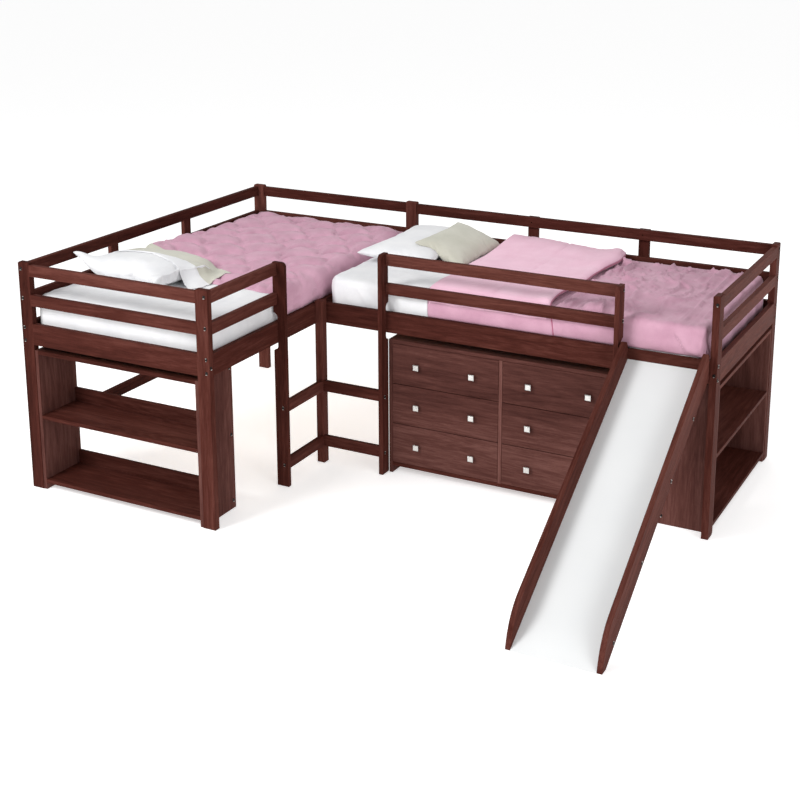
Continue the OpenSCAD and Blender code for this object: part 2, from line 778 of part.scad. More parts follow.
// Hooks that grip the side rail behind the slide's side boards
module slide_hooks() color(nickel) translate(shift)
    for (x = [slide_x0, slide_x1 - slide_board_t])
        along_slide(x + (slide_board_t - hook_w) / 2, hook_w) difference() {
            translate([slide_end_y, board_top - hook_leg])
                square([rail_t + 2 * hook_t, hook_leg + hook_t]);
            translate([inner_b, board_top - hook_leg - over])
                square([rail_t, hook_leg + over]);
        }

module bolts() color(nickel) translate(shift) {
    for (b = bed_bolts) bolt(b[0], b[1], shank_l);
    for (b = end_bolts) bolt(b[0], b[1], end_shank_l);
    for (b = concat(wall_screws, case_screws, slide_screws)) bolt(b[0], b[1], screw_l);
}

// ---------- bedding ----------

// Closed solid between an upper and a lower surface over the same grid.
// upper and lower are functions of u and v, which run from -1 to 1.
module soft_solid(us, vs, upper, lower) {
    n = len(us);
    m = len(vs);
    count = n * m;
    top = [for (v = vs, u = us) upper(u, v)];
    bottom = [for (v = vs, u = us) lower(u, v)];
    rim = concat([for (i = [0 : n - 2]) i], [for (j = [0 : m - 2]) j * n + n - 1],
        [for (i = [n - 1 : -1 : 1]) (m - 1) * n + i], [for (j = [m - 1 : -1 : 1]) j * n]);
    polyhedron(points = concat(top, bottom), faces = concat(
        [for (j = [0 : m - 2], i = [0 : n - 2]) let (a = j * n + i)
            each [[a, a + n + 1, a + 1], [a, a + n, a + n + 1]]],
        [for (j = [0 : m - 2], i = [0 : n - 2]) let (a = count + j * n + i)
            each [[a, a + 1, a + n + 1], [a, a + n + 1, a + n]]],
        [for (k = [0 : len(rim) - 1])
            let (a = rim[k], b = rim[(k + 1) % len(rim)])
            each [[a, b, b + count], [a, b + count, a + count]]]));
}

// Even steps from -1 to 1
function steps(n) = [for (i = [0 : n]) -1 + 2 * i / n];
// Steps that crowd towards both ends, so that an edge can be round
edge_shares = [0, 0.15, 0.5];
function edge_steps(n, edge) = concat([for (f = edge_shares) -1 + edge * f],
    [for (s = steps(n)) (1 - edge) * s], [for (k = [2, 1, 0]) 1 - edge * edge_shares[k]]);
// Drop of a rounded edge at a share of the half width, for a radius r
function edge_drop(u, half, r) = let (d = half * (1 - abs(u)))
    d >= r ? 0 : r - sqrt(r * r - (r - d) * (r - d));

mattress_r = 30;
corner_ease = 0.9;
mattress_steps = [6, 8];

// Height of a mattress's crown
function crown(u, v) = mattress_crown * (1 - u * u) * (1 - v * v);

// Mattress around its own middle, its length along y
module mattress() {
    a = mattress_w / 2;
    b = mattress_l / 2;
    upper = function (u, v) [a * u, b * v, mattress_top + crown(u, v)
        - edge_drop(u, a, mattress_r) - edge_drop(v, b, mattress_r) * corner_ease];
    lower = function (u, v) [a * u, b * v, mattress_z
        + edge_drop(u, a, mattress_r) + edge_drop(v, b, mattress_r) * corner_ease];
    soft_solid(edge_steps(mattress_steps[0], mattress_r / a),
        edge_steps(mattress_steps[1], mattress_r / b), upper, lower);
}

mattress_a_at = [(rail_inset + inner_a) / 2, mid_a];
mattress_b_at = [(inner_a + right_x - post_t) / 2, (inner_b + wall_y) / 2];

module mattress_a() color(linen) translate(shift)
    translate([mattress_a_at[0], mattress_a_at[1], 0]) mattress();

module mattress_b() color(linen) translate(shift)
    translate([mattress_b_at[0], mattress_b_at[1], 0]) rotate([0, 0, 90]) mattress();

// Half the thickness of a pillow's seam, the share by which its sides are drawn in
// between the corners, and the power that shapes its swell
pillow_seam = 5;
pillow_drawn = 0.09;
pillow_swell = 0.42;
pillow_steps = [14, 12];

// A pillow's form is [place in the plan, turn in degrees, length, width, thickness,
// slope of its middle plane across it, height of that plane's middle]
function swell(form, u, v) = pillow_seam
    + (form[4] / 2 - pillow_seam) * pow((1 - u * u) * (1 - v * v), pillow_swell);
function drawn_in(half, u, v) = half * u * (1 - pillow_drawn * (1 - v * v));
function mid_plane(form, y) = form[6] + form[5] * y;

// Height of a pillow's top at a place in the plan, and none beyond its reach
pillow_reach = 1.2;
function pillow_top(form) = function (x, y) let (
    d = [x, y] - form[0],
    p = d[0] * cos(form[1]) + d[1] * sin(form[1]),
    q = d[1] * cos(form[1]) - d[0] * sin(form[1]),
    u = 2 * p / form[2] / (1 - pillow_drawn * (1 - min(1, pow(2 * q / form[3], 2)))),
    v = 2 * q / form[3] / (1 - pillow_drawn * (1 - min(1, u * u))))
    max(abs(u), abs(v)) > pillow_reach ? 0
        : mid_plane(form, q) + swell(form, min(1, abs(u)), min(1, abs(v)));

// Pillow on the ground, which is the height of what it lies on at a place
module pillow(form, ground) {
    px = function (u, v) drawn_in(form[2] / 2, u, v);
    py = function (u, v) drawn_in(form[3] / 2, v, u);
    under = function (x, y) soft_gap + ground(
        form[0][0] + x * cos(form[1]) - y * sin(form[1]),
        form[0][1] + x * sin(form[1]) + y * cos(form[1]));
    upper = function (u, v) let (x = px(u, v), y = py(u, v))
        [x, y, max(mid_plane(form, y) + swell(form, u, v), under(x, y) + 2 * pillow_seam)];
    lower = function (u, v) let (x = px(u, v), y = py(u, v))
        [x, y, max(mid_plane(form, y) - swell(form, u, v), under(x, y))];
    translate([form[0][0], form[0][1], 0]) rotate([0, 0, form[1]])
        soft_solid(steps(pillow_steps[0]), steps(pillow_steps[1]), upper, lower);
}

// Slopes of the pillows, and the room below each sage one, on its white one
white_a_slope = -0.06;
sage_a_slope = -0.2;
sage_b_slope = 0.36;
room_a = 18;
room_b = 6;
lying_on = mattress_top + mattress_crown;

// The mattresses' corners at the head end and the wall side, and the pillows'
// turns and forms from there
corner_a = mattress_a_at - [mattress_w, mattress_l] / 2;
corner_b = mattress_b_at + [-mattress_l, mattress_w] / 2;
turn_a_white = -3;
turn_a_sage = -5;
turn_b = 90;
white_a_form = [corner_a + [white_a_side, white_a_in], turn_a_white,
    white_a_l, white_a_w, white_a_t, white_a_slope, lying_on + white_a_up];
sage_a_form = [corner_a + [sage_a_side, sage_a_in], turn_a_sage,
    sage_a_l, sage_a_w, sage_a_t, sage_a_slope, lying_on + sage_a_up];
white_b_form = [corner_b + [white_b_in, -white_b_side], turn_b,
    white_b_l, white_b_w, white_b_t, 0, lying_on + white_b_up];
sage_b_form = [corner_b + [sage_b_in, -sage_b_side], turn_b,
    sage_b_l, sage_b_w, sage_b_t, sage_b_slope, lying_on + sage_b_up];

// Heights of the mattresses' tops and of quilt A's top, at a place in the plan
top_a = function (x, y) mattress_top + bed_crown(
    (x - mattress_a_at[0]) * 2 / mattress_w, (y - mattress_a_at[1]) * 2 / mattress_l);
top_b = function (x, y) mattress_top + bed_crown(
    (x - mattress_b_at[0]) * 2 / mattress_l, (y - mattress_b_at[1]) * 2 / mattress_w);
quilt_top_a = function (x, y) top_a(x, y) + pillow_over_quilt + quilt_t
    - hollow(y - mattress_a_at[1] + mattress_l / 2, x - mattress_a_at[0] + mattress_w / 2);
function bed_crown(u, v) = crown(min(1, abs(u)), min(1, abs(v)));

// Height of what lies below the pillows: bed A's reach onto its quilt, from a
// little before the quilt's edge
quilt_edge_room = 40;
ground_a = function (x, y) y > corner_a[1] + quilt_a_start - quilt_edge_room
    ? quilt_top_a(x, y) : top_a(x, y);
function below(ground, other, room) = function (x, y)
    max(ground(x, y), pillow_top(other)(x, y) + room);

module pillow_a_white() color(linen) translate(shift) pillow(white_a_form, ground_a);

module pillow_a_sage() color(sage) translate(shift)
    pillow(sage_a_form, below(ground_a, white_a_form, room_a));

module pillow_b_white() color(linen) translate(shift) pillow(white_b_form, top_b);

module pillow_b_sage() color(sage) translate(shift)
    pillow(sage_b_form, below(top_b, white_b_form, room_b));

// Quilts. In a quilt's own frame x runs along the bed from the mattress's head end
// and y across it from the wall side; mattress_w is the open side's edge.
quilt_r = 24;
quilt_hem_z = board_top + quilt_hem_up;
quilt_end = mattress_l - quilt_short;
top_steps = 8;
arc_steps = 4;
side_steps = 4;
// Width of a quilt's hem, its thickness there as a share of the quilt's, and the
// same share at the edge of the part that is folded back
hem = 16;
hem_share = 0.45;
fold_edge_share = 1.2;
// The main folds start at this share of the way down, and sway by this many
// degrees over this length
fold_from = 0.25;
fold_sway = 50;
sway_l = 430;
// Distance from one hollow to the next along the bed and across it
hollow_l = 262;
hollow_w = 330;

// Cross section: [y, z, share of the way down the hanging side]
function quilt_section(top_t, side_t) = let (
    edge = mattress_w + soft_gap,
    flat_z = mattress_top + soft_gap,
    inner_y = edge - quilt_r)
    concat(
        [for (i = [0 : top_steps - 1])
            [quilt_wall_in + (inner_y - quilt_wall_in) * i / top_steps, flat_z + top_t, 0]],
        [for (i = [0 : arc_steps]) let (w = 90 * i / arc_steps)
            [inner_y + (quilt_r + side_t) * sin(w),
                flat_z - quilt_r + (quilt_r + top_t) * cos(w), 0]],
        [for (i = [1 : side_steps]) let (f = i / side_steps)
            [edge + side_t, flat_z - quilt_r - (flat_z - quilt_r - quilt_hem_z) * f, f]]);

// Height of the mattress's crown below a point of the quilt
function rise(x, y) = bed_crown(2 * y / mattress_w - 1, 2 * x / mattress_l - 1);
// Main folds of the hanging side
function fold_out(x, down) = quilt_fold * max(0, (down - fold_from) / (1 - fold_from))
    * (1 + sin(360 * x / fold_pitch + fold_sway * sin(360 * x / sway_l))) / 2;
// Soft hollows between the stitched lines
function hollow(x, y) = quilt_hollow
    * (1 - cos(360 * x / hollow_l) * cos(360 * y / hollow_w)) / 2;

// A point of the foot end's hanging part, which is this many rows below the
// mattress's top. The side's hanging part goes round the corner into it.
foot_x = mattress_l + soft_gap - quilt_r;
function foot_point(section, row, k) = let (
    j = max(0, k - top_steps),
    m = max(row, j),
    side_y = section[top_steps][0],
    out = section[top_steps + m][0] - side_y)
    [foot_x + out * (row < j ? row / j : 1),
        k < top_steps ? section[k][0] : side_y + out * (row < j ? 1 : j / row),
        section[top_steps + m][1]];

// Quilt over places along the bed, and over its foot end where it has foot rows
module quilt(places, thickness, foot_rows) {
    upper = function (at, k) let (
        x = at[0],
        section = quilt_section(thickness(x), quilt_side_t),
        s = section[k])
        at[1] > 0 ? foot_point(section, at[1], k)
            : [x, s[0] + fold_out(x, s[2]),
                s[1] + rise(x, s[0]) - (k < top_steps ? hollow(x, s[0]) : 0)];
    lower = function (at, k) let (x = at[0], section = quilt_section(0, 0), s = section[k])
        at[1] > 0 ? foot_point(section, at[1], k) : [x, s[0], s[1] + rise(x, s[0])];
    soft_solid(concat([for (x = places) [x, 0]],
            [for (row = [1 : 1 : foot_rows]) [foot_x, row]]),
        [for (k = [0 : top_steps + arc_steps + side_steps]) k], upper, lower);
}

// Even places from a to b
function spread(a, b, n) = [for (i = [0 : n]) a + (b - a) * i / n];

module quilt_a() color(pink) translate(shift)
    translate([corner_a[0], corner_a[1], 0])
        mirror([1, 0, 0]) rotate([0, 0, 90])
            quilt(concat([quilt_a_start], spread(quilt_a_start + hem, quilt_end - hem, 23),
                [quilt_end]),
                function (x) quilt_t
                    * (x == quilt_a_start || x == quilt_end ? hem_share : 1), 0);

module quilt_b() color(pink) translate(shift)
    translate([corner_b[0], corner_b[1], 0])
        mirror([0, 1, 0]) {
            fold_end = quilt_b_start + fold_back_l;
            quilt(concat([quilt_b_start], spread(quilt_b_start + hem, fold_end, 11),
                spread(fold_end + hem, foot_x, 12)),
                function (x) quilt_t * (x > fold_end ? 1
                    : x == quilt_b_start ? fold_edge_share : 2),
                arc_steps + side_steps);
        }

// ---------- the object ----------

bed_posts();
corner_post();
ladder_posts();
guard_post();
end_rails_front();
end_rails_back();
end_rails_right();
end_boards();
guard_rails_a();
guard_rails_b();
wall_rails_a();
wall_rails_b();
wall_uprights();
side_rails_wall();
side_rail_a();
side_rail_b();
stretchers();
ladder_rungs();
slat_cleats();
bed_slats();
bookcase_a_sides();
bookcase_a_shelves();
bookcase_b_sides();
bookcase_b_shelves();
shelf_lips();
dresser_sides();
dresser_top();
dresser_base();
dresser_back();
drawer_runners();
for (n = [1 : 6]) {
    drawer_front(n);
    drawer_box(n);
    drawer_knobs(n);
}
slide_panel();
slide_sides();
slide_hooks();
bolts();
mattress_a();
mattress_b();
pillow_a_white();
pillow_a_sage();
pillow_b_white();
pillow_b_sage();
quilt_a();
quilt_b();
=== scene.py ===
# An l shaped low loft bed with a slide, a dresser and two bookcases: its looks.
# Every size is in metres, in the frame of the CAD model.
import math

import bpy
import numpy as np
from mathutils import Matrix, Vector
from mathutils.bvhtree import BVHTree


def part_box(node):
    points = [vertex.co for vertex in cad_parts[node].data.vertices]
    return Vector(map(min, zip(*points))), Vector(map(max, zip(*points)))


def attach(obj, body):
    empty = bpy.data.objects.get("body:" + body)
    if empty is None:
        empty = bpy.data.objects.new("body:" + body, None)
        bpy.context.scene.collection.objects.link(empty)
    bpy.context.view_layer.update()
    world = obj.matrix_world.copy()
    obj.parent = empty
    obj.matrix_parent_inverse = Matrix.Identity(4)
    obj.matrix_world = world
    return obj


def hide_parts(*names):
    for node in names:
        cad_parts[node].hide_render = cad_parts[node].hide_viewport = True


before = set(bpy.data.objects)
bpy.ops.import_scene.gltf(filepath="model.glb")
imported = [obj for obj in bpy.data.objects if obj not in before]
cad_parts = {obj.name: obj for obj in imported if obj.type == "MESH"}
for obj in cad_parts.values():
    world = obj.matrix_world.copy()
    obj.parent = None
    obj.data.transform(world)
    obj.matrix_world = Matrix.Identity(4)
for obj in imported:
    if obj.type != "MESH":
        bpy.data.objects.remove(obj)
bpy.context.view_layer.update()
scene = bpy.context.scene

# The corner of bed A's front post, from which the bedding's places are measured
CORNER = np.array([-1.5215, -0.84174, 0.0])


# ---------- camera, floor and light ----------

camera_data = bpy.data.cameras.new("camera")
camera = bpy.data.objects.new("camera", camera_data)
scene.collection.objects.link(camera)
scene.camera = camera
camera.location = (3.0418, -5.62014, 2.8236)
CAMERA_DOWN, CAMERA_TURN = 0.2467, 0.4772
camera.rotation_euler = (math.pi / 2 - CAMERA_DOWN, 0, CAMERA_TURN)
camera_data.sensor_width = 36
camera_data.lens = 63.61
camera_data.shift_x = -0.0224
camera_data.shift_y = -0.2
camera_data.clip_end = 100

scene.view_settings.view_transform = "Standard"


def area_light(name, place, target, size, power):
    """A square white lamp at place that shines toward target, in watts."""
    data = bpy.data.lights.new(name, "AREA")
    data.shape = "SQUARE"
    data.size = size
    data.energy = power
    lamp = bpy.data.objects.new(name, data)
    scene.collection.objects.link(lamp)
    lamp.location = place
    lamp.rotation_mode = "QUATERNION"
    lamp.rotation_quaternion = (Vector(target) - Vector(place)).to_track_quat("-Z", "Y")


def plain(name, colour, rough, glow):
    """A material of one colour that also glows a little in it."""
    made = bpy.data.materials.new(name)
    made.use_nodes = True
    shader = made.node_tree.nodes["Principled BSDF"]
    shader.inputs["Base Color"].default_value = colour
    shader.inputs["Roughness"].default_value = rough
    shader.inputs["Emission Color"].default_value = colour
    shader.inputs["Emission Strength"].default_value = glow
    return made


FLOOR_HALF, FLOOR_Z = 60, -0.001
floor_mesh = bpy.data.meshes.new("floor")
floor_mesh.from_pydata([(x * FLOOR_HALF, y * FLOOR_HALF, FLOOR_Z)
                        for x, y in ((-1, -1), (1, -1), (1, 1), (-1, 1))],
                       [], [(0, 1, 2, 3)])
floor_mesh.materials.append(plain("floor_paper", (0.97, 0.97, 0.97, 1), 0.9, 0.52))
floor = bpy.data.objects.new("floor", floor_mesh)
scene.collection.objects.link(floor)

area_light("key", (-2.6, -5.0, 4.6), (0.2, 0, 0.6), 2.4, 285)
area_light("fill", (7.0, -3.8, 3.2), (0.4, 0.5, 0.7), 3.6, 175)
area_light("back", (0.5, 5.2, 4.2), (0, 0, 0.6), 3.4, 62)

world = bpy.data.worlds.new("studio")
scene.world = world
world.use_nodes = True
background = world.node_tree.nodes["Background"]
background.inputs["Color"].default_value = (1, 1, 1, 1)
background.inputs["Strength"].default_value = 0.48


# ---------- materials ----------

def rgb(red, green, blue):
    """A colour given as it looks on a screen, 0 to 255, for a shader."""
    share = [v / 255 for v in (red, green, blue)]
    return [v / 12.92 if v < 0.04045 else ((v + 0.055) / 1.055) ** 2.4
            for v in share] + [1]


class Shader:
    """A material's nodes, made by short calls. A value is a number, a colour or
    a socket."""

    def __init__(self, name, **settings):
        self.material = bpy.data.materials.new(name)
        self.material.use_nodes = True
        self.tree = self.material.node_tree
        self.tree.nodes.clear()
        self.surface = self.node("ShaderNodeBsdfPrincipled", **settings)
        out = self.node("ShaderNodeOutputMaterial")
        self.tree.links.new(self.surface.outputs[0], out.inputs["Surface"])
        self.place = self.node("ShaderNodeTexCoord").outputs["Object"]

    def node(self, kind, set_=(), **values):
        made = self.tree.nodes.new(kind)
        for key, value in dict(set_).items():
            setattr(made, key, value)
        for key, value in values.items():
            self.put(made.inputs[key.replace("_", " ")], value)
        return made

    def put(self, socket, value):
        if isinstance(value, bpy.types.NodeSocket):
            self.tree.links.new(value, socket)
        else:
            socket.default_value = value

    def math(self, operation, *values):
        made = self.tree.nodes.new("ShaderNodeMath")
        made.operation = operation
        for socket, value in zip(made.inputs, values):
            self.put(socket, value)
        return made.outputs[0]

    def scaled(self, vector, scale, turn=(0, 0, 0)):
        return self.node("ShaderNodeMapping", Vector=vector, Scale=scale,
                         Rotation=turn).outputs[0]

    def noise(self, vector, scale, detail=2.0, rough=0.5, warp=0.0):
        return self.node("ShaderNodeTexNoise", Vector=vector, Scale=scale, Detail=detail,
                         Roughness=rough, Distortion=warp).outputs["Fac"]

    def wave(self, vector, scale, direction, warp):
        return self.node("ShaderNodeTexWave", set_={"bands_direction": direction},
                         Vector=vector, Scale=scale, Distortion=warp).outputs["Fac"]

    def range(self, value, low, high, to_low=0.0, to_high=1.0, smooth=False):
        made = self.tree.nodes.new("ShaderNodeMapRange")
        if smooth:
            made.interpolation_type = "SMOOTHSTEP"
        for socket, v in zip(made.inputs, (value, low, high, to_low, to_high)):
            self.put(socket, v)
        return made.outputs[0]

    def mix(self, share, a, b):
        """Colour a where share is 0 and b where it is 1."""
        made = self.tree.nodes.new("ShaderNodeMix")
        made.data_type = "RGBA"
        self.put(made.inputs[0], share)
        self.put(made.inputs[6], a)
        self.put(made.inputs[7], b)
        return made.outputs[2]

    def pick(self, share, a, b):
        """Vector a where share is 0 and b where it is 1."""
        made = self.tree.nodes.new("ShaderNodeMix")
        made.data_type = "VECTOR"
        self.put(made.inputs[0], share)
        self.put(made.inputs[4], a)
        self.put(made.inputs[5], b)
        return made.outputs[1]

    def ramp(self, value, *stops):
        made = self.tree.nodes.new("ShaderNodeValToRGB")
        ramp = made.color_ramp
        while len(ramp.elements) < len(stops):
            ramp.elements.new(0.5)
        for element, (at, colour) in zip(ramp.elements, stops):
            element.position = at
            element.color = colour
        self.put(made.inputs[0], value)
        return made.outputs[0]

    def relief(self, height, distance, strength=1.0, normal=None):
        made = self.node("ShaderNodeBump", Height=height, Distance=distance,
                         Strength=strength)
        if normal is not None:
            self.put(made.inputs["Normal"], normal)
        return made.outputs[0]

    def grained(self, grain, other, beyond):
        """The place, stretched along one axis, or along another beyond a plane at that
        x."""
        along = self.scaled(self.place, STRETCH[grain])
        if other:
            x = self.node("ShaderNodeSeparateXYZ", Vector=self.place).outputs[0]
            along = self.pick(self.math("GREATER_THAN", x, beyond), along,
                              self.scaled(self.place, STRETCH[other]))
        return along

    def bevelled(self, radius):
        return self.node("ShaderNodeBevel", set_={"samples": 4}, Radius=radius).outputs[0]

    def set(self, **values):
        """The finished material, with these inputs of its surface."""
        for key, value in values.items():
            self.put(self.surface.inputs[key.replace("_", " ")], value)
        return self.material


GRAIN = 1 / 13      # how much slower the wood changes along its grain
SLOPE = math.atan2(0.780, 1.267)    # of the slide
STRETCH = {"x": (GRAIN, 1, 1), "y": (1, GRAIN, 1), "z": (1, 1, GRAIN)}

# colours of the stain from the darkest streak to the lightest. The panels' copy is
# lighter: partly their own paler wood, partly painted light that makes up for the shade
# under the loft
FRAME_STAIN = ((0.22, rgb(45, 20, 16)), (0.39, rgb(73, 37, 31)),
               (0.51, rgb(94, 54, 47)), (0.70, rgb(123, 76, 67)))
PALER_AND_LIT_STAIN = ((0.22, rgb(56, 31, 28)), (0.39, rgb(86, 53, 48)),
               (0.51, rgb(108, 72, 66)), (0.70, rgb(136, 93, 86)))


def wood(name, grain, other=None, beyond=0.0, stain=FRAME_STAIN):
    """Stained wood with its grain along an axis, or along another one beyond a plane
    at that x. The grain "slope" runs down the slide."""
    s = Shader(name)
    if grain == "slope":
        level = s.scaled(s.place, (1, 1, 1), turn=(-SLOPE, 0, 0))
        along = s.scaled(level, STRETCH["y"])
    else:
        along = s.grained(grain, other, beyond)
    board = s.noise(along, 3.1, 1.0)
    figure = s.noise(along, 8.0, 2.0, 0.45, 0.7)
    rings = s.math("SINE", s.math("MULTIPLY", figure, 95.0))
    fibre = s.noise(along, 260.0, 4.0, 0.65)
    streak = s.noise(along, 46.0, 3.0, 0.6, 0.3)
    pores = s.range(s.noise(along, 520.0, 2.0, 0.6), 0.60, 0.72)
    tone = s.math("ADD", s.math("MULTIPLY", board, 0.56),
                  s.math("MULTIPLY", streak, 0.30))
    tone = s.math("ADD", tone, s.math("MULTIPLY", rings, 0.020))
    tone = s.math("ADD", tone, s.math("MULTIPLY", s.math("SUBTRACT", fibre, 0.5), 0.26))
    colour = s.ramp(tone, *stain)
    colour = s.mix(s.math("MULTIPLY", pores, 0.5), colour, rgb(34, 12, 10))
    knot = s.node("ShaderNodeTexVoronoi", Vector=s.scaled(along, (3, 3, 3)),
                  Scale=1.0).outputs["Distance"]
    knot = s.range(s.math("ADD", knot, s.math("MULTIPLY", streak, 0.03)), 0.055, 0.085,
                   1, 0, smooth=True)
    colour = s.mix(s.math("MULTIPLY", knot, 0.75), colour, rgb(28, 10, 9))
    # the colour is lighter along every edge
    soft = s.bevelled(0.0028)
    flat = s.node("ShaderNodeNewGeometry").outputs["True Normal"]
    straight = s.node("ShaderNodeVectorMath", set_={"operation": "DOT_PRODUCT"})
    s.put(straight.inputs[0], soft)
    s.put(straight.inputs[1], flat)
    edge = s.range(straight.outputs["Value"], 0.97, 0.86, smooth=True)
    lighter_edges = s.math("MULTIPLY", edge, s.range(streak, 0.3, 0.7, 0.10, 0.5))
    colour = s.mix(lighter_edges, colour, rgb(116, 62, 50))
    height = s.math("SUBTRACT", s.math("MULTIPLY", fibre, 0.6), pores)
    rough = s.range(streak, 0.2, 0.8, 0.40, 0.52)
    return s.set(Base_Color=colour, Roughness=rough, Specular_IOR_Level=0.01,
                 Normal=s.relief(height, 0.0004, 0.5, soft))


def bare_wood(name, grain, other=None, beyond=0.0):
    """Pale wood without stain."""
    s = Shader(name)
    along = s.grained(grain, other, beyond)
    figure = s.noise(along, 9.0, 2.0, 0.5, 0.6)
    rings = s.math("SINE", s.math("MULTIPLY", figure, 80.0))
    fibre = s.noise(along, 240.0, 4.0, 0.6)
    tone = s.math("ADD", s.noise(along, 4.0, 1.0), s.math("MULTIPLY", rings, 0.10))
    tone = s.math("ADD", tone, s.math("MULTIPLY", s.math("SUBTRACT", fibre, 0.5), 0.3))
    colour = s.ramp(tone, (0.30, rgb(176, 132, 84)), (0.52, rgb(206, 168, 118)),
                    (0.75, rgb(222, 190, 146)))
    return s.set(Base_Color=colour, Roughness=s.range(fibre, 0.3, 0.7, 0.5, 0.64),
                 Normal=s.relief(fibre, 0.0003, 0.5), Specular_IOR_Level=0.3)


def panel_white():
    s = Shader("slide_white")
    cloud = s.noise(s.place, 3.0, 3.0)
    fine = s.noise(s.scaled(s.place, (1, 0.2, 0.2)), 300.0, 2.0)
    colour = s.mix(cloud, rgb(230, 232, 233), rgb(241, 242, 242))
    return s.set(Base_Color=colour, Roughness=s.range(cloud, 0.3, 0.7, 0.30, 0.42),
                 Normal=s.relief(fine, 0.0001, 0.15), Coat_Weight=0.15,
                 Coat_Roughness=0.2)


def metal():
    s = Shader("nickel")
    brushed = s.noise(s.scaled(s.place, (1, 1, 0.1)), 900.0, 3.0, 0.6)
    cloud = s.noise(s.place, 60.0, 2.0)
    colour = s.mix(cloud, rgb(196, 194, 190), rgb(222, 221, 218))
    return s.set(Base_Color=colour, Metallic=1.0,
                 Roughness=s.range(brushed, 0.2, 0.8, 0.2, 0.36),
                 Normal=s.relief(brushed, 0.00005, 0.2, s.bevelled(0.0012)))


def dark_metal():
    s = Shader("dark_steel")
    cloud = s.noise(s.place, 240.0, 3.0)
    return s.set(Base_Color=s.mix(cloud, rgb(16, 13, 12), rgb(34, 29, 27)), Metallic=0.4,
                 Roughness=s.range(cloud, 0.3, 0.7, 0.3, 0.48), Specular_IOR_Level=0.3)


# bright steel for the domes that stand in for the bolts' highlights: a painted highlight
def highlight_metal():
    s = Shader("bolt_highlight_steel")
    cloud = s.noise(s.place, 300.0, 3.0)
    return s.set(Base_Color=s.mix(cloud, rgb(190, 186, 180), rgb(222, 219, 214)),
                 Metallic=0.8, Roughness=s.range(cloud, 0.3, 0.7, 0.3, 0.45))


THREADS = 1.6 / (2 * math.pi) / 0.0009      # how closely a cloth's threads lie


def cloth(name, dark, light, sheen=0.25):
    """Woven fabric: fine threads both ways, a soft uneven tone and a sheen."""
    s = Shader(name)
    threads = [s.wave(s.place, THREADS, way, 0.4) for way in "XYZ"]
    crossed = s.math("MULTIPLY", s.math("ADD", threads[0], threads[1]), 0.5)
    crossed = s.math("ADD", crossed, s.math("MULTIPLY", threads[2], 0.4))
    slub = s.noise(s.place, 420.0, 3.0, 0.6)
    cloud = s.noise(s.place, 9.0, 3.0, 0.55)
    tone = s.math("ADD", s.math("MULTIPLY", cloud, 0.7), s.math("MULTIPLY", slub, 0.3))
    colour = s.mix(s.range(tone, 0.3, 0.7), dark, light)
    height = s.math("ADD", s.math("MULTIPLY", crossed, 0.5),
                    s.math("MULTIPLY", slub, 0.5))
    crease = s.noise(s.place, 26.0, 4.0, 0.6, 0.6)
    normal = s.relief(crease, 0.004, 0.25, s.relief(height, 0.0004, 0.35))
    return s.set(Base_Color=colour, Roughness=0.86, Sheen_Weight=sheen,
                 Sheen_Roughness=0.5, Specular_IOR_Level=0.2, Normal=normal)


white_linen = cloth("white_linen", rgb(228, 229, 232), rgb(243, 243, 244))
sage_linen = cloth("sage_linen", rgb(196, 195, 180), rgb(213, 211, 198))
pink_quilt = cloth("pink_quilt", rgb(192, 143, 164), rgb(216, 169, 189), sheen=0.2)
pink_lining = cloth("pink_lining", rgb(238, 188, 209), rgb(249, 205, 224))
# the piping's dark pink is partly its own colour and partly painted shade along the
# fold's free edge
piping_pink_and_shade = cloth("piping_pink_and_shade", rgb(168, 92, 118), rgb(188, 112, 138), sheen=0.2)

# planes beyond which the pieces of a node run the other way
LADDER_X = CORNER[0] + 1.104
BED_B_X = CORNER[0] + 1.05
WALL_A_X = CORNER[0] + 0.5
END_B_X = CORNER[0] + 3.0
DRAWERS = range(1, 7)
FINISHES = {
    wood("wood_x", "x"): [
        "end_rails_front", "end_rails_back", "guard_rails_b", "wall_rails_b",
        "side_rail_b", "bookcase_a_shelves", "dresser_base"],
    # the lighter stain on these boards is partly painted light for the shade under the
    # loft
    wood("paler_and_lit_panel_x", "x", stain=PALER_AND_LIT_STAIN): [
        "dresser_top", "dresser_back"] + [f"drawer_front_{n}" for n in DRAWERS],
    wood("wood_y", "y"): [
        "end_rails_right", "guard_rails_a", "wall_rails_a", "side_rail_a",
        "bookcase_b_shelves"],
    wood("wood_z", "z"): [
        "bed_posts", "corner_post", "ladder_posts", "guard_post", "wall_uprights"],
    # the lighter stain on these sides is partly painted light for the shade under the
    # loft
    wood("paler_and_lit_panel_z", "z", stain=PALER_AND_LIT_STAIN): [
        "bookcase_a_sides", "bookcase_b_sides", "dresser_sides"],
    wood("wood_slope", "slope"): ["slide_sides"],
    wood("wood_ends", "x", "y", END_B_X): ["end_boards"],
    wood("wood_walls", "y", "x", WALL_A_X): ["side_rails_wall", "stretchers"],
    wood("wood_rungs", "y", "x", LADDER_X): ["ladder_rungs"],
    wood("wood_lips", "x", "y", LADDER_X): ["shelf_lips"],
    bare_wood("bare_cleats", "y", "x", BED_B_X): ["slat_cleats"],
    bare_wood("bare_slats", "x", "y", BED_B_X): ["bed_slats"],
    bare_wood("bare_boxes", "y"): ["drawer_runners"] + [
        f"drawer_box_{n}" for n in DRAWERS],
    panel_white(): ["slide_panel"],
    metal(): [f"drawer_knobs_{n}" for n in DRAWERS],
    dark_metal(): ["slide_hooks", "bolts"],
}
for finish, names in FINISHES.items():
    for node in names:
        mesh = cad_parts[node].data
        mesh.materials.clear()
        mesh.materials.append(finish)


# ---------- mesh helpers ----------

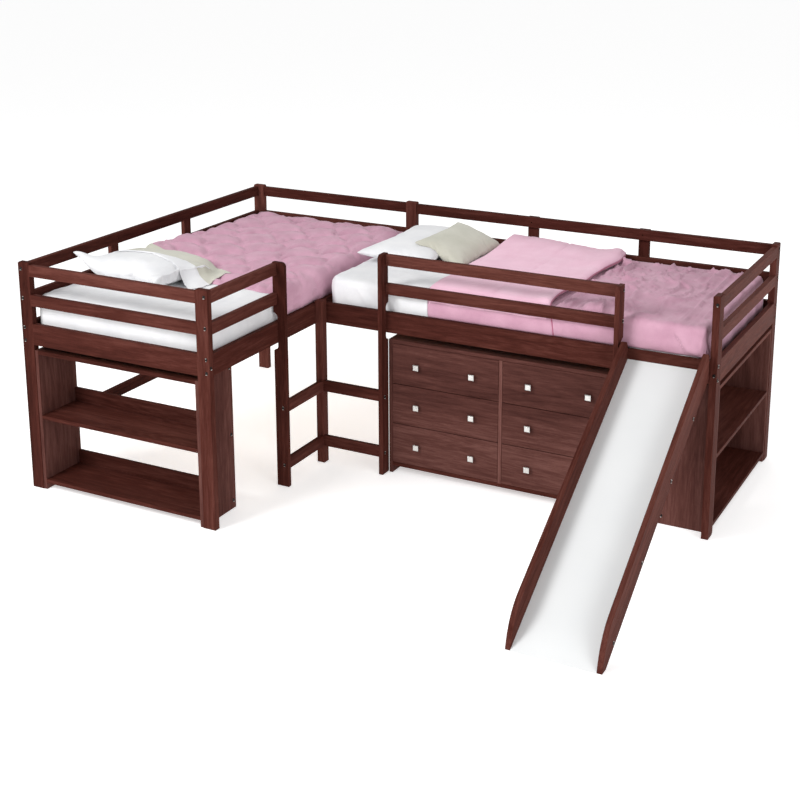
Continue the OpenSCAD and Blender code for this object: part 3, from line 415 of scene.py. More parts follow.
def noise(points, scale, seed=0):
    """Smooth noise from -1 to 1 at points, an array of rows of up to three values."""
    p = np.zeros((len(points), 3))
    p[:, :points.shape[1]] = np.asarray(points) * np.asarray(scale)
    cell = np.floor(p).astype(np.int64)
    part = p - cell
    part = part * part * part * (part * (part * 6 - 15) + 10)
    # each corner of a cell has a value of its own, hashed from its whole numbers
    total = np.zeros(len(p))
    for corner in np.ndindex(2, 2, 2):
        c = cell + corner
        key = (c[:, 0] * 374761393 + c[:, 1] * 668265263 + c[:, 2] * 1440662683
               + seed * 974634777) & 0xFFFFFFFF
        key = ((key ^ (key >> 13)) * 1274126177) & 0xFFFFFFFF
        key = ((key ^ (key >> 16)) * 2246822519) & 0xFFFFFFFF
        value = (key ^ (key >> 15)) / 0xFFFFFFFF * 2 - 1
        weight = np.where(np.array(corner) == 1, part, 1 - part).prod(1)
        total += value * weight
    return total


def smooth(low, high, value):
    """0 at low and 1 at high, with an even start and end."""
    t = np.clip((value - low) / (high - low), 0, 1)
    return t * t * (3 - 2 * t)


def piece(name, points, faces, *finishes):
    """A smooth mesh piece of the bed."""
    mesh = bpy.data.meshes.new(name)
    mesh.from_pydata(np.asarray(points).tolist(), [],
                     [list(map(int, f)) for f in faces])
    mesh.polygons.foreach_set("use_smooth", [True] * len(mesh.polygons))
    mesh.update()
    made = bpy.data.objects.new(name, mesh)
    scene.collection.objects.link(made)
    for finish in finishes:
        mesh.materials.append(finish)
    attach(made, "bed")
    return made


def grid_faces(rows, columns, first=0, flip=False):
    """Faces between the points of a grid whose numbers start at first."""
    i, j = np.meshgrid(np.arange(rows - 1), np.arange(columns - 1), indexing="ij")
    a = (first + i * columns + j).ravel()
    square = np.stack([a, a + 1, a + columns + 1, a + columns], 1)
    return square[:, ::-1] if flip else square


def closed_sheet(upper, lower):
    """Points and faces of the closed form between two grids of points."""
    rows, columns = upper.shape[:2]
    count = rows * columns
    points = np.concatenate([upper.reshape(-1, 3), lower.reshape(-1, 3)])
    index = np.arange(count).reshape(rows, columns)
    rim = np.concatenate([index[0, :-1], index[:-1, -1], index[-1, :0:-1],
                          index[:0:-1, 0]])
    after = np.roll(rim, -1)
    sides = np.stack([rim, rim + count, after + count, after], 1)
    return points, np.concatenate([grid_faces(rows, columns),
                                   grid_faces(rows, columns, count, True), sides])


# ---------- bolts ----------

SHANK_R = 0.005     # no point of a bolt's shank lies farther from its axis
# rings of the bright dome in each cap's middle, a painted highlight: their radius and how
# far they stand above the cap
HIGHLIGHT_DOME_RINGS = ((0.0038, -0.0004), (0.0036, 0.0003), (0.0022, 0.0008))


def add_bolt_highlights():
    """A bright dome in the middle of every bolt's dark cap: a painted highlight."""
    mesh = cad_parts["bolts"].data
    p = np.empty(len(mesh.vertices) * 3)
    mesh.vertices.foreach_get("co", p)
    p = p.reshape(-1, 3)
    group = np.arange(len(p))
    ends = np.array([list(e.vertices) for e in mesh.edges])
    # points joined by edges end up with the same least number
    while True:
        least = np.minimum(group[ends[:, 0]], group[ends[:, 1]])
        before = group.copy()
        np.minimum.at(group, ends[:, 0], least)
        np.minimum.at(group, ends[:, 1], least)
        group = group[group]
        if (group == before).all():
            break
    points, faces = [], []
    turns = np.linspace(0, 2 * math.pi, 14, endpoint=False)
    for number in np.unique(group):
        q = p[group == number]
        low, high = q.min(0), q.max(0)
        axis = int(np.argmax(high - low))
        others = [k for k in range(3) if k != axis]
        middle = (low + high) / 2
        wide = np.linalg.norm(q[:, others] - middle[others], axis=1) > SHANK_R
        sign = 1 if q[wide, axis].mean() > middle[axis] else -1
        first = len(points)
        for radius, rise in HIGHLIGHT_DOME_RINGS:
            for turn in turns:
                at = middle.copy()
                at[others[0]] += radius * math.cos(turn)
                at[others[1]] += radius * math.sin(turn)
                at[axis] = (high if sign > 0 else low)[axis] + sign * rise
                points.append(at)
        n = len(turns)
        flip = (sign > 0) == (axis == 1)
        rings = [[first + r * n + k, first + r * n + (k + 1) % n,
                  first + (r + 1) * n + (k + 1) % n, first + (r + 1) * n + k]
                 for r in (0, 1) for k in range(n)]
        rings.append([first + 2 * n + k for k in range(n)])
        rings.append([first + k for k in range(n)][::-1])
        faces += [f[::-1] for f in rings] if flip else rings
    made = piece("bolt_highlight_domes", points, faces, highlight_metal())


add_bolt_highlights()


# ---------- mattresses ----------

EDGE_R = 0.032      # radius of a mattress's edges
PLAN_R = 0.060      # radius of its corners in the plan
STEP = 0.013        # distance between its points


def folded(points, lines):
    """Height of creases at points on a plane: each is a line, a width and a height."""
    height = np.zeros(len(points))
    for start, end, width, rise in lines:
        a, d = np.array(start), np.array(end) - np.array(start)
        t = np.clip((points - a) @ d / (d @ d), -0.15, 1.15)
        gap = np.linalg.norm(points - a - np.outer(t, d), axis=1)
        ends = 1 - smooth(0.75, 1.15, np.abs(t - 0.5) * 2)
        height += rise * np.exp(-(gap / width) ** 2) * ends
    return height


def mattress(node, seed, front_folds=()):
    """A mattress in a fitted sheet, over the CAD solid of that name. The folds are
    lines on its front side."""
    low, high = (np.array(v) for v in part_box(node))
    centre, half = (low + high) / 2, (high - low) / 2
    counts = np.maximum(4, np.round(2 * half / STEP).astype(int))
    numbers, quads = {}, []

    def number(key):
        return numbers.setdefault(key, len(numbers))

    for axis in range(3):
        a, b = (axis + 1) % 3, (axis + 2) % 3
        for end in (0, counts[axis]):
            for i in range(counts[a]):
                for j in range(counts[b]):
                    corners = []
                    for di, dj in ((0, 0), (1, 0), (1, 1), (0, 1)):
                        key = [0, 0, 0]
                        key[axis], key[a], key[b] = end, i + di, j + dj
                        corners.append(number(tuple(key)))
                    quads.append(corners if end else corners[::-1])
    p = (np.array(list(numbers)) / counts * 2 - 1) * half
    core = half - EDGE_R
    inner = np.clip(p, -core, core)
    out = p - inner
    out /= np.linalg.norm(out, axis=1, keepdims=True)
    # square corners of the plan become round
    corner = np.maximum(
        np.abs(inner[:, :2] + out[:, :2] * EDGE_R) - (half[:2] - PLAN_R), 0)
    p = inner + out * EDGE_R
    reach = np.hypot(corner[:, 0], corner[:, 1])
    both = (corner > 0).all(1)
    pull = np.where(both, corner.max(1) / np.maximum(reach, 1e-9), 1)
    p[:, :2] = np.sign(p[:, :2]) * (np.minimum(np.abs(p[:, :2]), half[:2] - PLAN_R)
                                    + corner * pull[:, None])
    # the sheet: long shallow waves, creases that run to the corners, gathers below
    up = out[:, 2]
    u, v = np.abs(p[:, 0]) / half[0], np.abs(p[:, 1]) / half[1]
    near = np.exp(-np.hypot((1 - u) * half[0], (1 - v) * half[1]) / 0.16)
    angle = np.arctan2(half[1] - np.abs(p[:, 1]), half[0] - np.abs(p[:, 0]) + 1e-6)
    fan = noise(np.stack([angle * 9, near * 1.5], 1), 1.0, seed)
    wave = noise(p, 5.0, seed + 1) * 0.0030 + noise(p, (15, 15, 6), seed + 2) * 0.0018
    crease = 1 - np.abs(noise(p + 0.04 * noise(p, 6.0, seed + 3)[:, None], 9.0, seed + 4))
    top = smooth(0.2, 0.9, up)
    side = 1 - smooth(0.2, 0.8, np.abs(up))
    push = wave + top * (crease ** 8 * 0.0040 + fan * near * 0.006)
    along = p[:, 0] + p[:, 1]
    drop = smooth(-half[2], half[2], p[:, 2])
    hanging = np.stack([along * 26 + p[:, 2] * 5, p[:, 2] * 3], 1)
    gather = 1 - np.abs(noise(hanging, 1.0, seed + 5))
    push += side * (gather ** 4) * 0.0035 * (0.25 + near * 2.5) * (1 - 0.5 * drop)
    flat = np.stack([p[:, 0] + centre[0], p[:, 2] + centre[2]], 1)
    push += side * (out[:, 1] < -0.7) * folded(flat, front_folds)
    push -= 0.0012
    push = np.where(up < -0.3, np.minimum(push, 0), push)
    p = p + out * push[:, None] + centre
    p[:, 2] = np.clip(p[:, 2], low[2] + 0.0005, high[2] + 0.006)
    made = piece(node.replace("mattress", "sheeted_mattress"), p, quads, white_linen)
    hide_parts(node)
    return made


# folds by the ladder: x from the corner and z of both ends, width and height
LADDER_FOLDS = ((1.243, 0.934, 1.328, 0.831, 0.009, 0.006),
                (1.298, 0.896, 1.368, 0.831, 0.008, 0.005),
                (1.187, 0.909, 1.215, 0.838, 0.010, 0.004),
                (1.456, 0.900, 1.492, 0.836, 0.010, -0.006))
mattress_a = mattress("mattress_a", 11)
mattress_b = mattress("mattress_b", 23, [
    ((CORNER[0] + x0, z0), (CORNER[0] + x1, z1), width, rise)
    for x0, z0, x1, z1, width, rise in LADDER_FOLDS])


# ---------- quilts ----------

MATTRESS_W = 0.991
QUILT_R = 0.024     # radius of the cloth's bend over the mattress's edge
WALL_IN = 0.012     # gap between a quilt's edge and the mattress's edge at the wall
QUILT_STEP = 0.0085     # distance between a quilt's points along the bed
COLUMNS = 134       # number of its points across
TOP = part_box("mattress_a")[1].z - 0.004     # height of the sheets under the quilts
HEM_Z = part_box("quilt_a")[0].z - 0.004      # and of the quilts' hems at the side
FOOT_DROP = 1.45    # how much longer a quilt hangs over the foot end than at the side
HALF = 0.0036       # half of a quilt's thickness away from its rim
FLAT = MATTRESS_W - QUILT_R - WALL_IN       # lies on the mattress
BEND = QUILT_R * math.pi / 2                # bends over its edge
HANGING = FLAT + BEND                       # hangs from here on
ACROSS = np.linspace(0, HANGING + TOP - QUILT_R - HEM_Z, COLUMNS)
FAR = 9.0           # farther away than anything on a bed


def clamshell(x, y, width, height, seed, sway):
    """Distance to the nearest line of a pattern of stitched arcs, and the place along
    it, both in metres. The arcs sway, so that no two are alike."""
    at = np.stack([x, y], 1)
    x = x + sway * noise(at, 5.5, seed) + sway * 0.4 * noise(at, 13.0, seed + 1)
    y = y + sway * noise(at, 5.5, seed + 2) + sway * 0.4 * noise(at, 13.0, seed + 3)
    best = np.full(len(x), FAR)
    place = np.zeros(len(x))
    row = np.floor(y / height)
    for k in (-1, 0, 1, 2):
        r = row + k
        shift = np.where(r % 2 == 0, 0.0, width / 2)
        column = np.round((x - shift) / width)
        for side in (-1, 0, 1):
            cx = (column + side) * width + shift
            cy = r * height
            d = np.hypot((x - cx) / (width / 2), (y - cy) / (height * 1.35))
            angle = np.arctan2(y - cy, x - cx)
            gap = np.where(angle > -0.1, np.abs(d - 1) * width / 2, FAR)
            closer = gap < best
            best = np.where(closer, gap, best)
            place = np.where(closer, angle * width / 2 + r * 7.3 + column * 3.1, place)
    return best, place


def puckered(gap, place, seed, puff, reach):
    """Height of padded cloth beside a stitched line, with small gathers along it."""
    rise = puff * (1 - np.exp(-gap / reach))
    gathers = noise(np.stack([place * 55, gap * 12], 1), 1.0, seed)
    gathers += 0.6 * noise(np.stack([place * 115, gap * 26], 1), 1.0, seed + 1)
    return rise + gathers * 0.0042 * np.exp(-gap / 0.030)


def rim_share(shape, cells, least):
    """1 over a grid of points, falling to least at its rim."""
    i, j = (np.minimum(np.arange(n), np.arange(n)[::-1]) for n in shape)
    gap = np.minimum(i[:, None], j[None, :]).astype(float)
    return least + (1 - least) * smooth(0, cells, gap)


def draped(x, lift, side_share, pitch, fold, seed, foot=FAR):
    """Points of a cloth over the mattress: x along the bed, lift how far above it, both
    grids with columns at ACROSS; side_share of the lift is left where it hangs. The
    hanging part has folds of this pitch and depth. Beyond foot the cloth hangs over the
    bed's foot end."""
    across = np.broadcast_to(ACROSS, x.shape)
    by_side, by_end = np.maximum(across - FLAT, 0), np.maximum(x - foot, 0)
    over = np.maximum(by_side, by_end)
    least = np.minimum(by_side, by_end) / np.maximum(over, 1e-9)
    rounded = (1 + least ** 3) ** (-1 / 3)
    to_side = np.where(by_side >= by_end, 1, least) * rounded
    to_end = np.where(by_end >= by_side, 1, least) * rounded
    turned = np.clip(over / BEND, 0, 1)
    down = np.maximum(over - BEND, 0)
    at_foot = smooth(0, 1, np.where(by_end > by_side, 1 - least, 0))
    down *= 1 + (FOOT_DROP - 1) * at_foot
    angle = turned * math.pi / 2
    radius = QUILT_R + lift * (1 - (1 - side_share) * smooth(0, 1, turned))
    at = np.where(by_end > by_side, across, x)
    sway = noise(np.stack([at.ravel() * 3.1, down.ravel() * 2], 1), 1.0, seed)
    wave = np.sin(2 * math.pi * at / pitch + sway.reshape(x.shape) * 2.2) * 0.5 + 0.5
    out = (radius * np.sin(angle)
           + fold * (0.45 + 0.55 * wave) * smooth(0.015, 0.07, down))
    y = WALL_IN + np.minimum(across, FLAT) + out * to_side
    z = TOP - QUILT_R + radius * np.cos(angle) - down
    return np.stack([np.minimum(x, foot) + out * to_end, y, z], 2)


def make_quilt_a():
    """A puffed quilt with stitched arcs that hangs down the bed's open side."""
    low, high = (np.array(v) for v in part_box("quilt_a"))
    start, length = low[1], high[1] - low[1]
    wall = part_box("mattress_a")[0].x
    x = np.linspace(0, length, int(length / QUILT_STEP))
    x, across = np.meshgrid(x, ACROSS, indexing="ij")
    # the front hem comes forward at the edge and back where it hangs
    front = (0.012 * np.sin(across * 7.0) - 0.030 * np.exp(-((across - 0.93) / 0.10) ** 2)
             + 0.055 * smooth(0.98, 1.10, across))
    x = x + front * (1 - x / length)
    flat = np.stack([x.ravel(), across.ravel()], 1)
    gap, place = clamshell(flat[:, 1], flat[:, 0], 0.235, 0.140, 31, 0.030)
    puff = puckered(gap, place, 40, 0.023, 0.024) + 0.0024 * noise(flat, 26.0, 45)
    puff = (puff * (1 - 0.5 * smooth(0.93, 1.0, flat[:, 1]))).reshape(x.shape)
    # it lies loose, highest along the wall
    loose = (0.010 * (noise(flat, 2.6, 44) * 0.5 + 0.5)
             + 0.006 * (noise(flat, 7.0, 46) * 0.5 + 0.5))
    heap = 0.012 + 0.046 * (1 - smooth(0.30, 0.88, x)) * smooth(0.06, 0.24, x)
    loose = loose.reshape(x.shape) + heap * np.exp(-(across / 0.22) ** 2)
    rim = rim_share(x.shape, 3.0, 0.2)
    hem = np.exp(-((x - front - 0.020) / 0.004) ** 2)
    loose = loose * rim_share(x.shape, 9.0, 0.0)
    lift = 0.0045 + loose
    half = HALF * rim
    hang = {"side_share": 0.8, "pitch": 0.172, "fold": 0.010, "seed": 51}
    upper = draped(x, lift + half + (puff - 0.004 * hem) * rim, **hang)
    lower = draped(x, lift - half + 0.40 * np.maximum(puff, 0) * rim, **hang)
    points, faces = closed_sheet(*(g[..., [1, 0, 2]] + (wall, start, 0)
                                   for g in (upper, lower)))
    made = piece("puffed_quilt_a", points, faces, pink_quilt)
    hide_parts("quilt_a")
    return made


quilt_a = make_quilt_a()


# Limits of quilt B's hanging side: places along the bed from the quilt's start
GUARDED = 0.93                  # the guard rails hide the hem up to here
PAST_POST = (0.990, 1.010)      # the guard post ends and the cloth can bulge out
HOOKS_FROM = (0.972, 0.984)     # the slide's hooks begin
# and a height and a gap
RAIL_TOP_Z = (0.836, 0.850)     # the side rail ends and the cloth can bulge over it
CLEAR = 0.001                   # between the cloth and the rails and hooks


def make_quilt_b():
    """A quilt whose upper part is folded back over the rest. It hangs down the bed's
    front and its foot end."""
    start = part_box("quilt_b")[0].x
    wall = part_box("mattress_b")[1].y
    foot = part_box("mattress_b")[1].x - QUILT_R - start
    back = 0.630        # length of the part that is folded back
    layer = 0.022       # height of the upper layer over the lower one
    bend = layer / 2
    lengths = [back - bend, math.pi * bend, foot - bend + ACROSS[-1] - FLAT]
    total = sum(lengths)
    a = np.linspace(0, total, int(total / QUILT_STEP))
    turn = np.clip((a - lengths[0]) / lengths[1], 0, 1) * math.pi
    x = np.where(a < lengths[0], back - a, bend - bend * np.sin(turn))
    x = np.where(a > lengths[0] + lengths[1], bend + a - lengths[0] - lengths[1], x)
    h = 0.0040 + bend + bend * np.cos(turn)
    # the path's normal, which is up on the lower layer and so down on the folded one
    shape = (len(a), len(ACROSS))
    x, h, a, nx, nh = (np.repeat(v[:, None], shape[1], 1)
                       for v in (x, h, a, -np.sin(turn), -np.cos(turn)))
    across = np.broadcast_to(ACROSS, shape)
    # the free edge of the folded part isn't straight
    slant = 0.016 * np.sin(across * 5.2 + 0.6) + 0.010 * np.sin(across * 13)
    x = x + slant * np.clip(1 - a / lengths[0], 0, 1)
    sheet = np.stack([a.ravel(), across.ravel()], 1)
    lower_layer = smooth(lengths[0] + lengths[1], lengths[0] + lengths[1] + 0.02, a)
    folded_part = 1 - smooth(lengths[0] - 0.01, lengths[0] + lengths[1] * 0.5, a)
    # gathered wrinkles that run across the bed, strongest beside the fold and the wall
    warp = 0.030 * np.stack([noise(sheet, 4.2, 61), noise(sheet, 4.2, 62)], 1)
    ridge = 1 - np.abs(noise(sheet + warp, (17, 4.0), 63))
    fine = 1 - np.abs(noise(sheet + warp * 0.6, (36, 9.0), 64))
    past = x - back
    fade = 0.42 + 0.58 * np.exp(-np.maximum(past, 0) / 0.30)
    by_wall = 0.55 + 0.45 * np.exp(-across / 0.42)
    gathers = ((ridge ** 7 * 0.044 + fine ** 6 * 0.021).reshape(shape)
               * fade * by_wall * smooth(0, 0.03, past))
    dents = 0.014 * (noise(sheet, 3.4, 65) * 0.5 + 0.5) + 0.0030 * noise(sheet, 15.0, 66)
    dents = (dents.reshape(shape) * smooth(0, 0.03, past)
             * (1 - 0.6 * np.exp(-across / 0.10)))
    ridge_line = past - 0.40 + 0.22 * across - 0.03 * np.sin(across * 8)
    dents = dents + 0.026 * np.exp(-(ridge_line / 0.075) ** 2) * smooth(0.05, 0.3, across)
    rest = (gathers + dents) * lower_layer * rim_share(shape, 8.0, 0.0)
    # the folded part's lining swells softly and has one seam
    seam = x - 0.335 - 0.012 * np.sin(across * 6)
    swell = (0.012 * (noise(sheet, 2.6, 71) * 0.5 + 0.5) + 0.004 * noise(sheet, 8.0, 72)
             + 0.0012 * noise(sheet, (60, 8), 73)).reshape(shape)
    swell += 0.012 * np.exp(-((x - back + 0.03) / 0.05) ** 2)
    swell += 0.036 * np.exp(-(across / 0.24) ** 2) * (1 - 0.7 * smooth(0.10, 0.55, x))
    swell -= 0.006 * np.exp(-(seam / 0.006) ** 2)
    rim = rim_share(shape, 3.0, 0.25)
    swell = swell * folded_part * rim_share(shape, 2.0, 0.6)
    half = HALF * rim

    def laid(along, lift):
        deep = np.where(along > 0.96, 0.011, 0.0015)
        return draped(along, lift + rest * 0.7, 0.22, 0.185, deep, 81, foot)

    up = half + 0.3 * rest
    upper = laid(x + nx * up, h + nh * up)
    down = half + swell - 0.7 * rest
    lower = laid(x - nx * down, h - nh * (half + swell))
    hangs = across > HANGING
    rail_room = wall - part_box("guard_rails_b")[1].y - CLEAR
    hook_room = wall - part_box("slide_hooks")[1].y - CLEAR
    for grid, inset in ((upper, 0), (lower, 0.004)):
        # the hem reaches lower where the guard rails hide it
        guarded = (grid[..., 0] < GUARDED) & hangs
        grid[..., 2] -= 0.0045 * guarded * smooth(HANGING, ACROSS[-1], across)
        # the corner of the foot end is tucked in along a slanted pleat
        slanted = grid[..., 0] - foot + 0.05 + (grid[..., 2] - HEM_Z) * 0.75
        tucked = smooth(0, 0.006, slanted) * hangs * (x < foot)
        grid[..., 1] += 0.0095 * tucked * (1 - smooth(0.02, 0.09, slanted))
        # the hanging side stays behind the guard rails, and low down behind the hooks
        above_rail = smooth(*RAIL_TOP_Z, grid[..., 2])
        bulge = above_rail * 0.012 * smooth(*PAST_POST, grid[..., 0])
        behind = ((1 - above_rail) * min(hook_room - rail_room, 0)
                  * smooth(*HOOKS_FROM, grid[..., 0]))
        room = rail_room + (bulge + behind)
        room[0] -= 0.0045       # leaves space for the piping
        grid[..., 1] = np.minimum(grid[..., 1], room - inset)
    upper, lower = ((g * (1, -1, 1) + (start, wall, 0)) for g in (upper, lower))
    points, faces = closed_sheet(upper, lower)
    made = piece("folded_quilt_b", points, faces, pink_quilt, pink_lining)
    count = (shape[0] - 1) * (shape[1] - 1)
    slots = np.zeros(len(faces), int)
    slots[count:2 * count] = 1
    made.data.polygons.foreach_set("material_index", slots)
    # the piping's darker pink is partly painted shade along the free edge
    piping = piece("quilt_b_piping", *tube((upper[0] + lower[0]) / 2, 0.0032, 8),
                   piping_pink_and_shade)
    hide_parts("quilt_b")
    return made


def tube(line, radius, sides):
    """Points and faces of a closed tube along a line of points."""
    line = np.asarray(line)
    way = np.gradient(line, axis=0)
    way /= np.linalg.norm(way, axis=1, keepdims=True)
    first = np.cross(way, (1.0, 0.0, 0.0))
    first /= np.linalg.norm(first, axis=1, keepdims=True)
    second = np.cross(way, first)
    angles = np.linspace(0, 2 * math.pi, sides, endpoint=False)
    rings = line[:, None, :] + radius * (
        np.cos(angles)[None, :, None] * first[:, None, :]
        + np.sin(angles)[None, :, None] * second[:, None, :])
    n = len(line)
    index = np.arange(n * sides).reshape(n, sides)
    right = np.roll(index, -1, 1)
    walls = np.stack([index[:-1], right[:-1], right[1:], index[1:]], 2).reshape(-1, 4)
    points = rings.reshape(-1, 3)
    ends = np.concatenate([points, line[:1], line[-1:]])
    faces = walls.tolist()
    faces += [[n * sides, int(index[0, (k + 1) % sides]), int(index[0, k])]
              for k in range(sides)]
    faces += [[n * sides + 1, int(index[-1, k]), int(index[-1, (k + 1) % sides])]
              for k in range(sides)]
    return ends, faces


quilt_b = make_quilt_b()


# ---------- pillows ----------

CELL = 0.011        # distance between the points of a pillow's cloth
CUT_L, CUT_W = 1.10, 1.12       # the flat cloth's size over the filled pillow's
PRESSURE, FRAMES = 5.0, 24      # of the filling, and how long the cloth moves
GROUND_STEP = 0.01  # distance between the heights that are kept of what lies below
SOFTENINGS = 10     # how often they are evened out


def sewn_flat(length, width, cells_x, cells_y):
    """Points and faces of two layers of cloth sewn together along their edges, and
    which points are in the upper layer and in the seam."""
    u = np.linspace(-1, 1, cells_x + 1)
    v = np.linspace(-1, 1, cells_y + 1)
    gu, gv = np.meshgrid(u, v, indexing="ij")
    inner = (1 - gu ** 2) * (1 - gv ** 2)
    # the cut's corners are a little rounded
    ease = 1 - 0.035 * np.abs(gu * gv) ** 6
    flat = np.stack([gu * length / 2 * ease, gv * width / 2 * ease, inner * 0.02], 2)
    rows, columns = gu.shape
    index = np.arange(rows * columns).reshape(rows, columns)
    inside = np.zeros((rows, columns), bool)
    inside[1:-1, 1:-1] = True
    under = index.copy()
    under[inside] = rows * columns + np.arange(inside.sum())
    below = flat[inside] * (1, 1, -1)
    points = np.concatenate([flat.reshape(-1, 3), below])
    quads = []
    for grid, flip in ((index, False), (under, True)):
        q = np.stack([grid[:-1, :-1], grid[1:, :-1], grid[1:, 1:], grid[:-1, 1:]],
                     2).reshape(-1, 4)
        quads.append(q[:, ::-1] if flip else q)
    upper = np.zeros(len(points), bool)
    upper[index[inside]] = True
    seam = np.ones(len(points), bool)
    seam[index[inside]] = False
    seam[rows * columns:] = False
    return points, np.concatenate(quads), upper, seam


def blown_up(points, faces, seed):
    """The same points after the cloth has been filled."""
    uneven = np.stack([noise(points, 70.0, seed + k) for k in range(3)], 1)
    rough = points + 0.0012 * uneven
    mesh = bpy.data.meshes.new("filling")
    mesh.from_pydata(rough.tolist(), [], faces.tolist())
    shell = bpy.data.objects.new("filling", mesh)
    scene.collection.objects.link(shell)
    solver = shell.modifiers.new("cloth", "CLOTH")
    s = solver.settings
    s.quality = 5
    s.mass = 0.15
    s.tension_stiffness = 18
    s.compression_stiffness = 10
    s.shear_stiffness = 6
    s.bending_stiffness = 0.12
    s.use_pressure = True
    s.uniform_pressure_force = PRESSURE
    s.effector_weights.gravity = 0
    solver.collision_settings.use_collision = False
    solver.point_cache.frame_start = 1
    solver.point_cache.frame_end = FRAMES
    for f in range(1, FRAMES + 1):
        scene.frame_set(f)
    done = shell.evaluated_get(bpy.context.evaluated_depsgraph_get()).to_mesh()
    out = np.zeros(len(points) * 3)
    done.vertices.foreach_get("co", out)
    bpy.data.objects.remove(shell)
    bpy.data.meshes.remove(mesh)
    scene.frame_set(1)
    return out.reshape(-1, 3)


class Ground:
    """Height of the pieces that something lies on, softened between them."""

    def __init__(self, pieces, low, high):
        self.low = np.array(low)
        n = np.ceil((np.array(high) - low) / GROUND_STEP).astype(int) + 1
        trees = [BVHTree.FromObject(p, bpy.context.evaluated_depsgraph_get())
                 for p in pieces]
        height = np.full(n, -1.0)
        for i in range(n[0]):
            for j in range(n[1]):
                x, y = self.low + GROUND_STEP * np.array([i, j])
                for tree in trees:
                    hit = tree.ray_cast(Vector((x, y, 2.0)), Vector((0, 0, -1)))[0]
                    if hit is not None:
                        height[i, j] = max(height[i, j], hit.z)
        height = np.maximum(height, height[height > 0].min())
        soft = height.copy()
        for _ in range(SOFTENINGS):
            wide = np.pad(soft, 1, mode="edge")
            soft = (wide[:-2, 1:-1] + wide[2:, 1:-1] + wide[1:-1, :-2]
                    + wide[1:-1, 2:]) / 4
            soft = np.maximum(soft, height)
        self.height = soft

    def at(self, xy):
        """Its height at places in the plan."""
        last = np.array(self.height.shape) - 1.001
        g = np.clip((xy - self.low) / GROUND_STEP, 0, last)
        i, j = np.floor(g).astype(int).T
        fi, fj = (g - np.floor(g)).T
        h = self.height
        a = h[i, j] * (1 - fi) + h[i + 1, j] * fi
        b = h[i, j + 1] * (1 - fi) + h[i + 1, j + 1] * fi
        return a * (1 - fj) + b * fj


def pillow(name, node, finish, size, place, turn, lift, slope, carried_by, seed,
           shape=None, lining=None):
    """A filled pillow: size is its length, width and thickness, place its middle in the
    plan from the bed's corner, slope how it leans along and across itself. A shape is a
    function of the pillow's points and of their shares of its half length and width."""
    length, width, thick = size
    cut = length * CUT_L, width * CUT_W
    points, faces, upper, seam = sewn_flat(*cut, int(length / CELL), int(width / CELL))
    filled = blown_up(points, faces, seed)
    low, high = filled.min(0), filled.max(0)
    filled = (filled - (low + high) / 2) / (high - low) * (length, width, thick)
    if shape is not None:
        filled = shape(filled, filled[:, 0] / length * 2, filled[:, 1] / width * 2)
    p = filled.copy()
    p[:, 2] += slope[0] * p[:, 0] + slope[1] * p[:, 1]
    c, s = math.cos(math.radians(turn)), math.sin(math.radians(turn))
    world = np.empty_like(p)
    world[:, 0] = CORNER[0] + place[0] + p[:, 0] * c - p[:, 1] * s
    world[:, 1] = CORNER[1] + place[1] + p[:, 0] * s + p[:, 1] * c
    world[:, 2] = p[:, 2] + lift
    # it gives way where it would sink into what carries it
    ground = Ground(carried_by, world[:, :2].min(0) - 0.02, world[:, :2].max(0) + 0.02)
    level = ground.at(world[:, :2]) + 0.0015
    ease = 0.005
    above = world[:, 2] - level
    rest = ease * np.log1p(np.exp(np.clip(above / ease, -30, 30)))
    rest = np.where(above > 30 * ease, above, rest)
    depth = np.clip(filled[:, 2] / thick * 2, 0, 1)
    pressed = np.clip((level - world[:, 2]) / 0.05, 0, 1)
    world[:, 2] = level + rest + np.where(upper, 0.014 * depth * pressed + 0.003, 0)
    world[:, 2] += np.where(seam, 0.002, 0)
    finishes = [finish] + ([lining] if lining else [])
    made = piece(name, world, faces, *finishes)
    if lining:
        # the lining shows below, and on a strip that widens to the right
        middle = filled[faces].mean(1)
        u, v = middle[:, 0] / length * 2, middle[:, 1] / width * 2
        slots = (v < -0.55 + 0.35 * smooth(-0.6, 1.0, u)).astype(int)
        slots[len(faces) // 2:] = 1
        made.data.polygons.foreach_set("material_index", slots)
    finer = made.modifiers.new("finer", "SUBSURF")
    finer.levels = finer.render_levels = 1
    apply_modifiers(made)
    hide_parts(node)
    return made


def apply_modifiers(made):
    """Makes a piece's modifiers part of its mesh."""
    done = bpy.data.meshes.new_from_object(
        made.evaluated_get(bpy.context.evaluated_depsgraph_get()))
    made.modifiers.clear()
    made.data = done
    done.polygons.foreach_set("use_smooth", [True] * len(done.polygons))


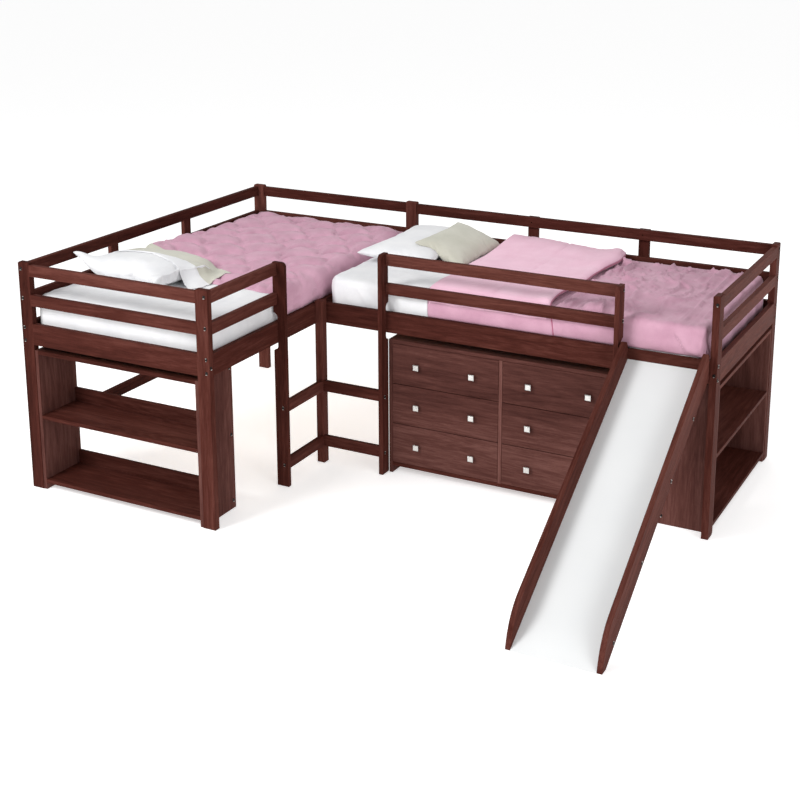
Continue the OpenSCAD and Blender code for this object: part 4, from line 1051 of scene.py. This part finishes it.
def open_end(p, u, v):
    """A pillow with a deep end at the right, like a case's, and a turned up corner."""
    out = p.copy()
    deep = smooth(0.45, 0.9, u) * (1 - smooth(0.82, 1.0, np.abs(v)))
    least = 0.026 * deep * (1 - smooth(0.993, 1.0, u))
    out[:, 2] = np.where(p[:, 2] >= 0, np.maximum(p[:, 2], least),
                         np.minimum(p[:, 2], -least))
    out[:, 0] += 0.006 * smooth(0.90, 0.985, u) * deep
    folds = np.exp(-((u - 0.90) / 0.025) ** 2) + 0.6 * np.exp(-((u - 0.78) / 0.03) ** 2)
    out[:, 2] -= np.sign(p[:, 2]) * 0.007 * folds * deep
    corner = smooth(0.35, 1.0, -u) * smooth(0.10, 1.0, -v)
    out[:, 2] += 0.072 * corner ** 1.3
    out[:, 1] += 0.03 * corner
    return out


def slumped(p, u, v):
    """A pillow whose right end sags and whose far corners are drawn in."""
    out = p.copy()
    right = smooth(0.25, 1.0, u)
    left = smooth(0.1, 1.0, -u)
    out[:, 0] -= right * (0.02 * smooth(-0.4, -1.0, v) + 0.03 * smooth(-0.2, 1.0, v))
    out[:, 1] -= (right * 0.055 + left * 0.075) * smooth(-0.2, 1.0, v)
    out[:, 1] += right * 0.020 * smooth(0.2, -1.0, v)
    out[:, 2] -= right * 0.065
    out[:, 2] -= 0.040 * left * smooth(-0.2, 0.9, v)
    return out


pillow_a_white = pillow(
    "white_pillow_a", "pillow_a_white", white_linen, (0.560, 0.400, 0.130),
    (0.315, 0.490), -3, 1.010, (0, -0.06), [mattress_a, quilt_a], 101,
    shape=open_end)
pillow(
    "sage_pillow_a", "pillow_a_sage", sage_linen, (0.620, 0.360, 0.100),
    (0.394, 0.674), -13, 1.002, (-0.03, -0.10), [mattress_a, quilt_a, pillow_a_white],
    103, shape=slumped, lining=white_linen)
pillow_b_white = pillow(
    "white_pillow_b", "pillow_b_white", white_linen, (0.640, 0.430, 0.130),
    (1.310, 1.565), 90, 1.007, (0, 0), [mattress_b], 107)
pillow(
    "sage_pillow_b", "pillow_b_sage", sage_linen, (0.500, 0.280, 0.105),
    (1.505, 1.610), 90, 1.014, (0, 0.36), [mattress_b, quilt_b, pillow_b_white], 109)
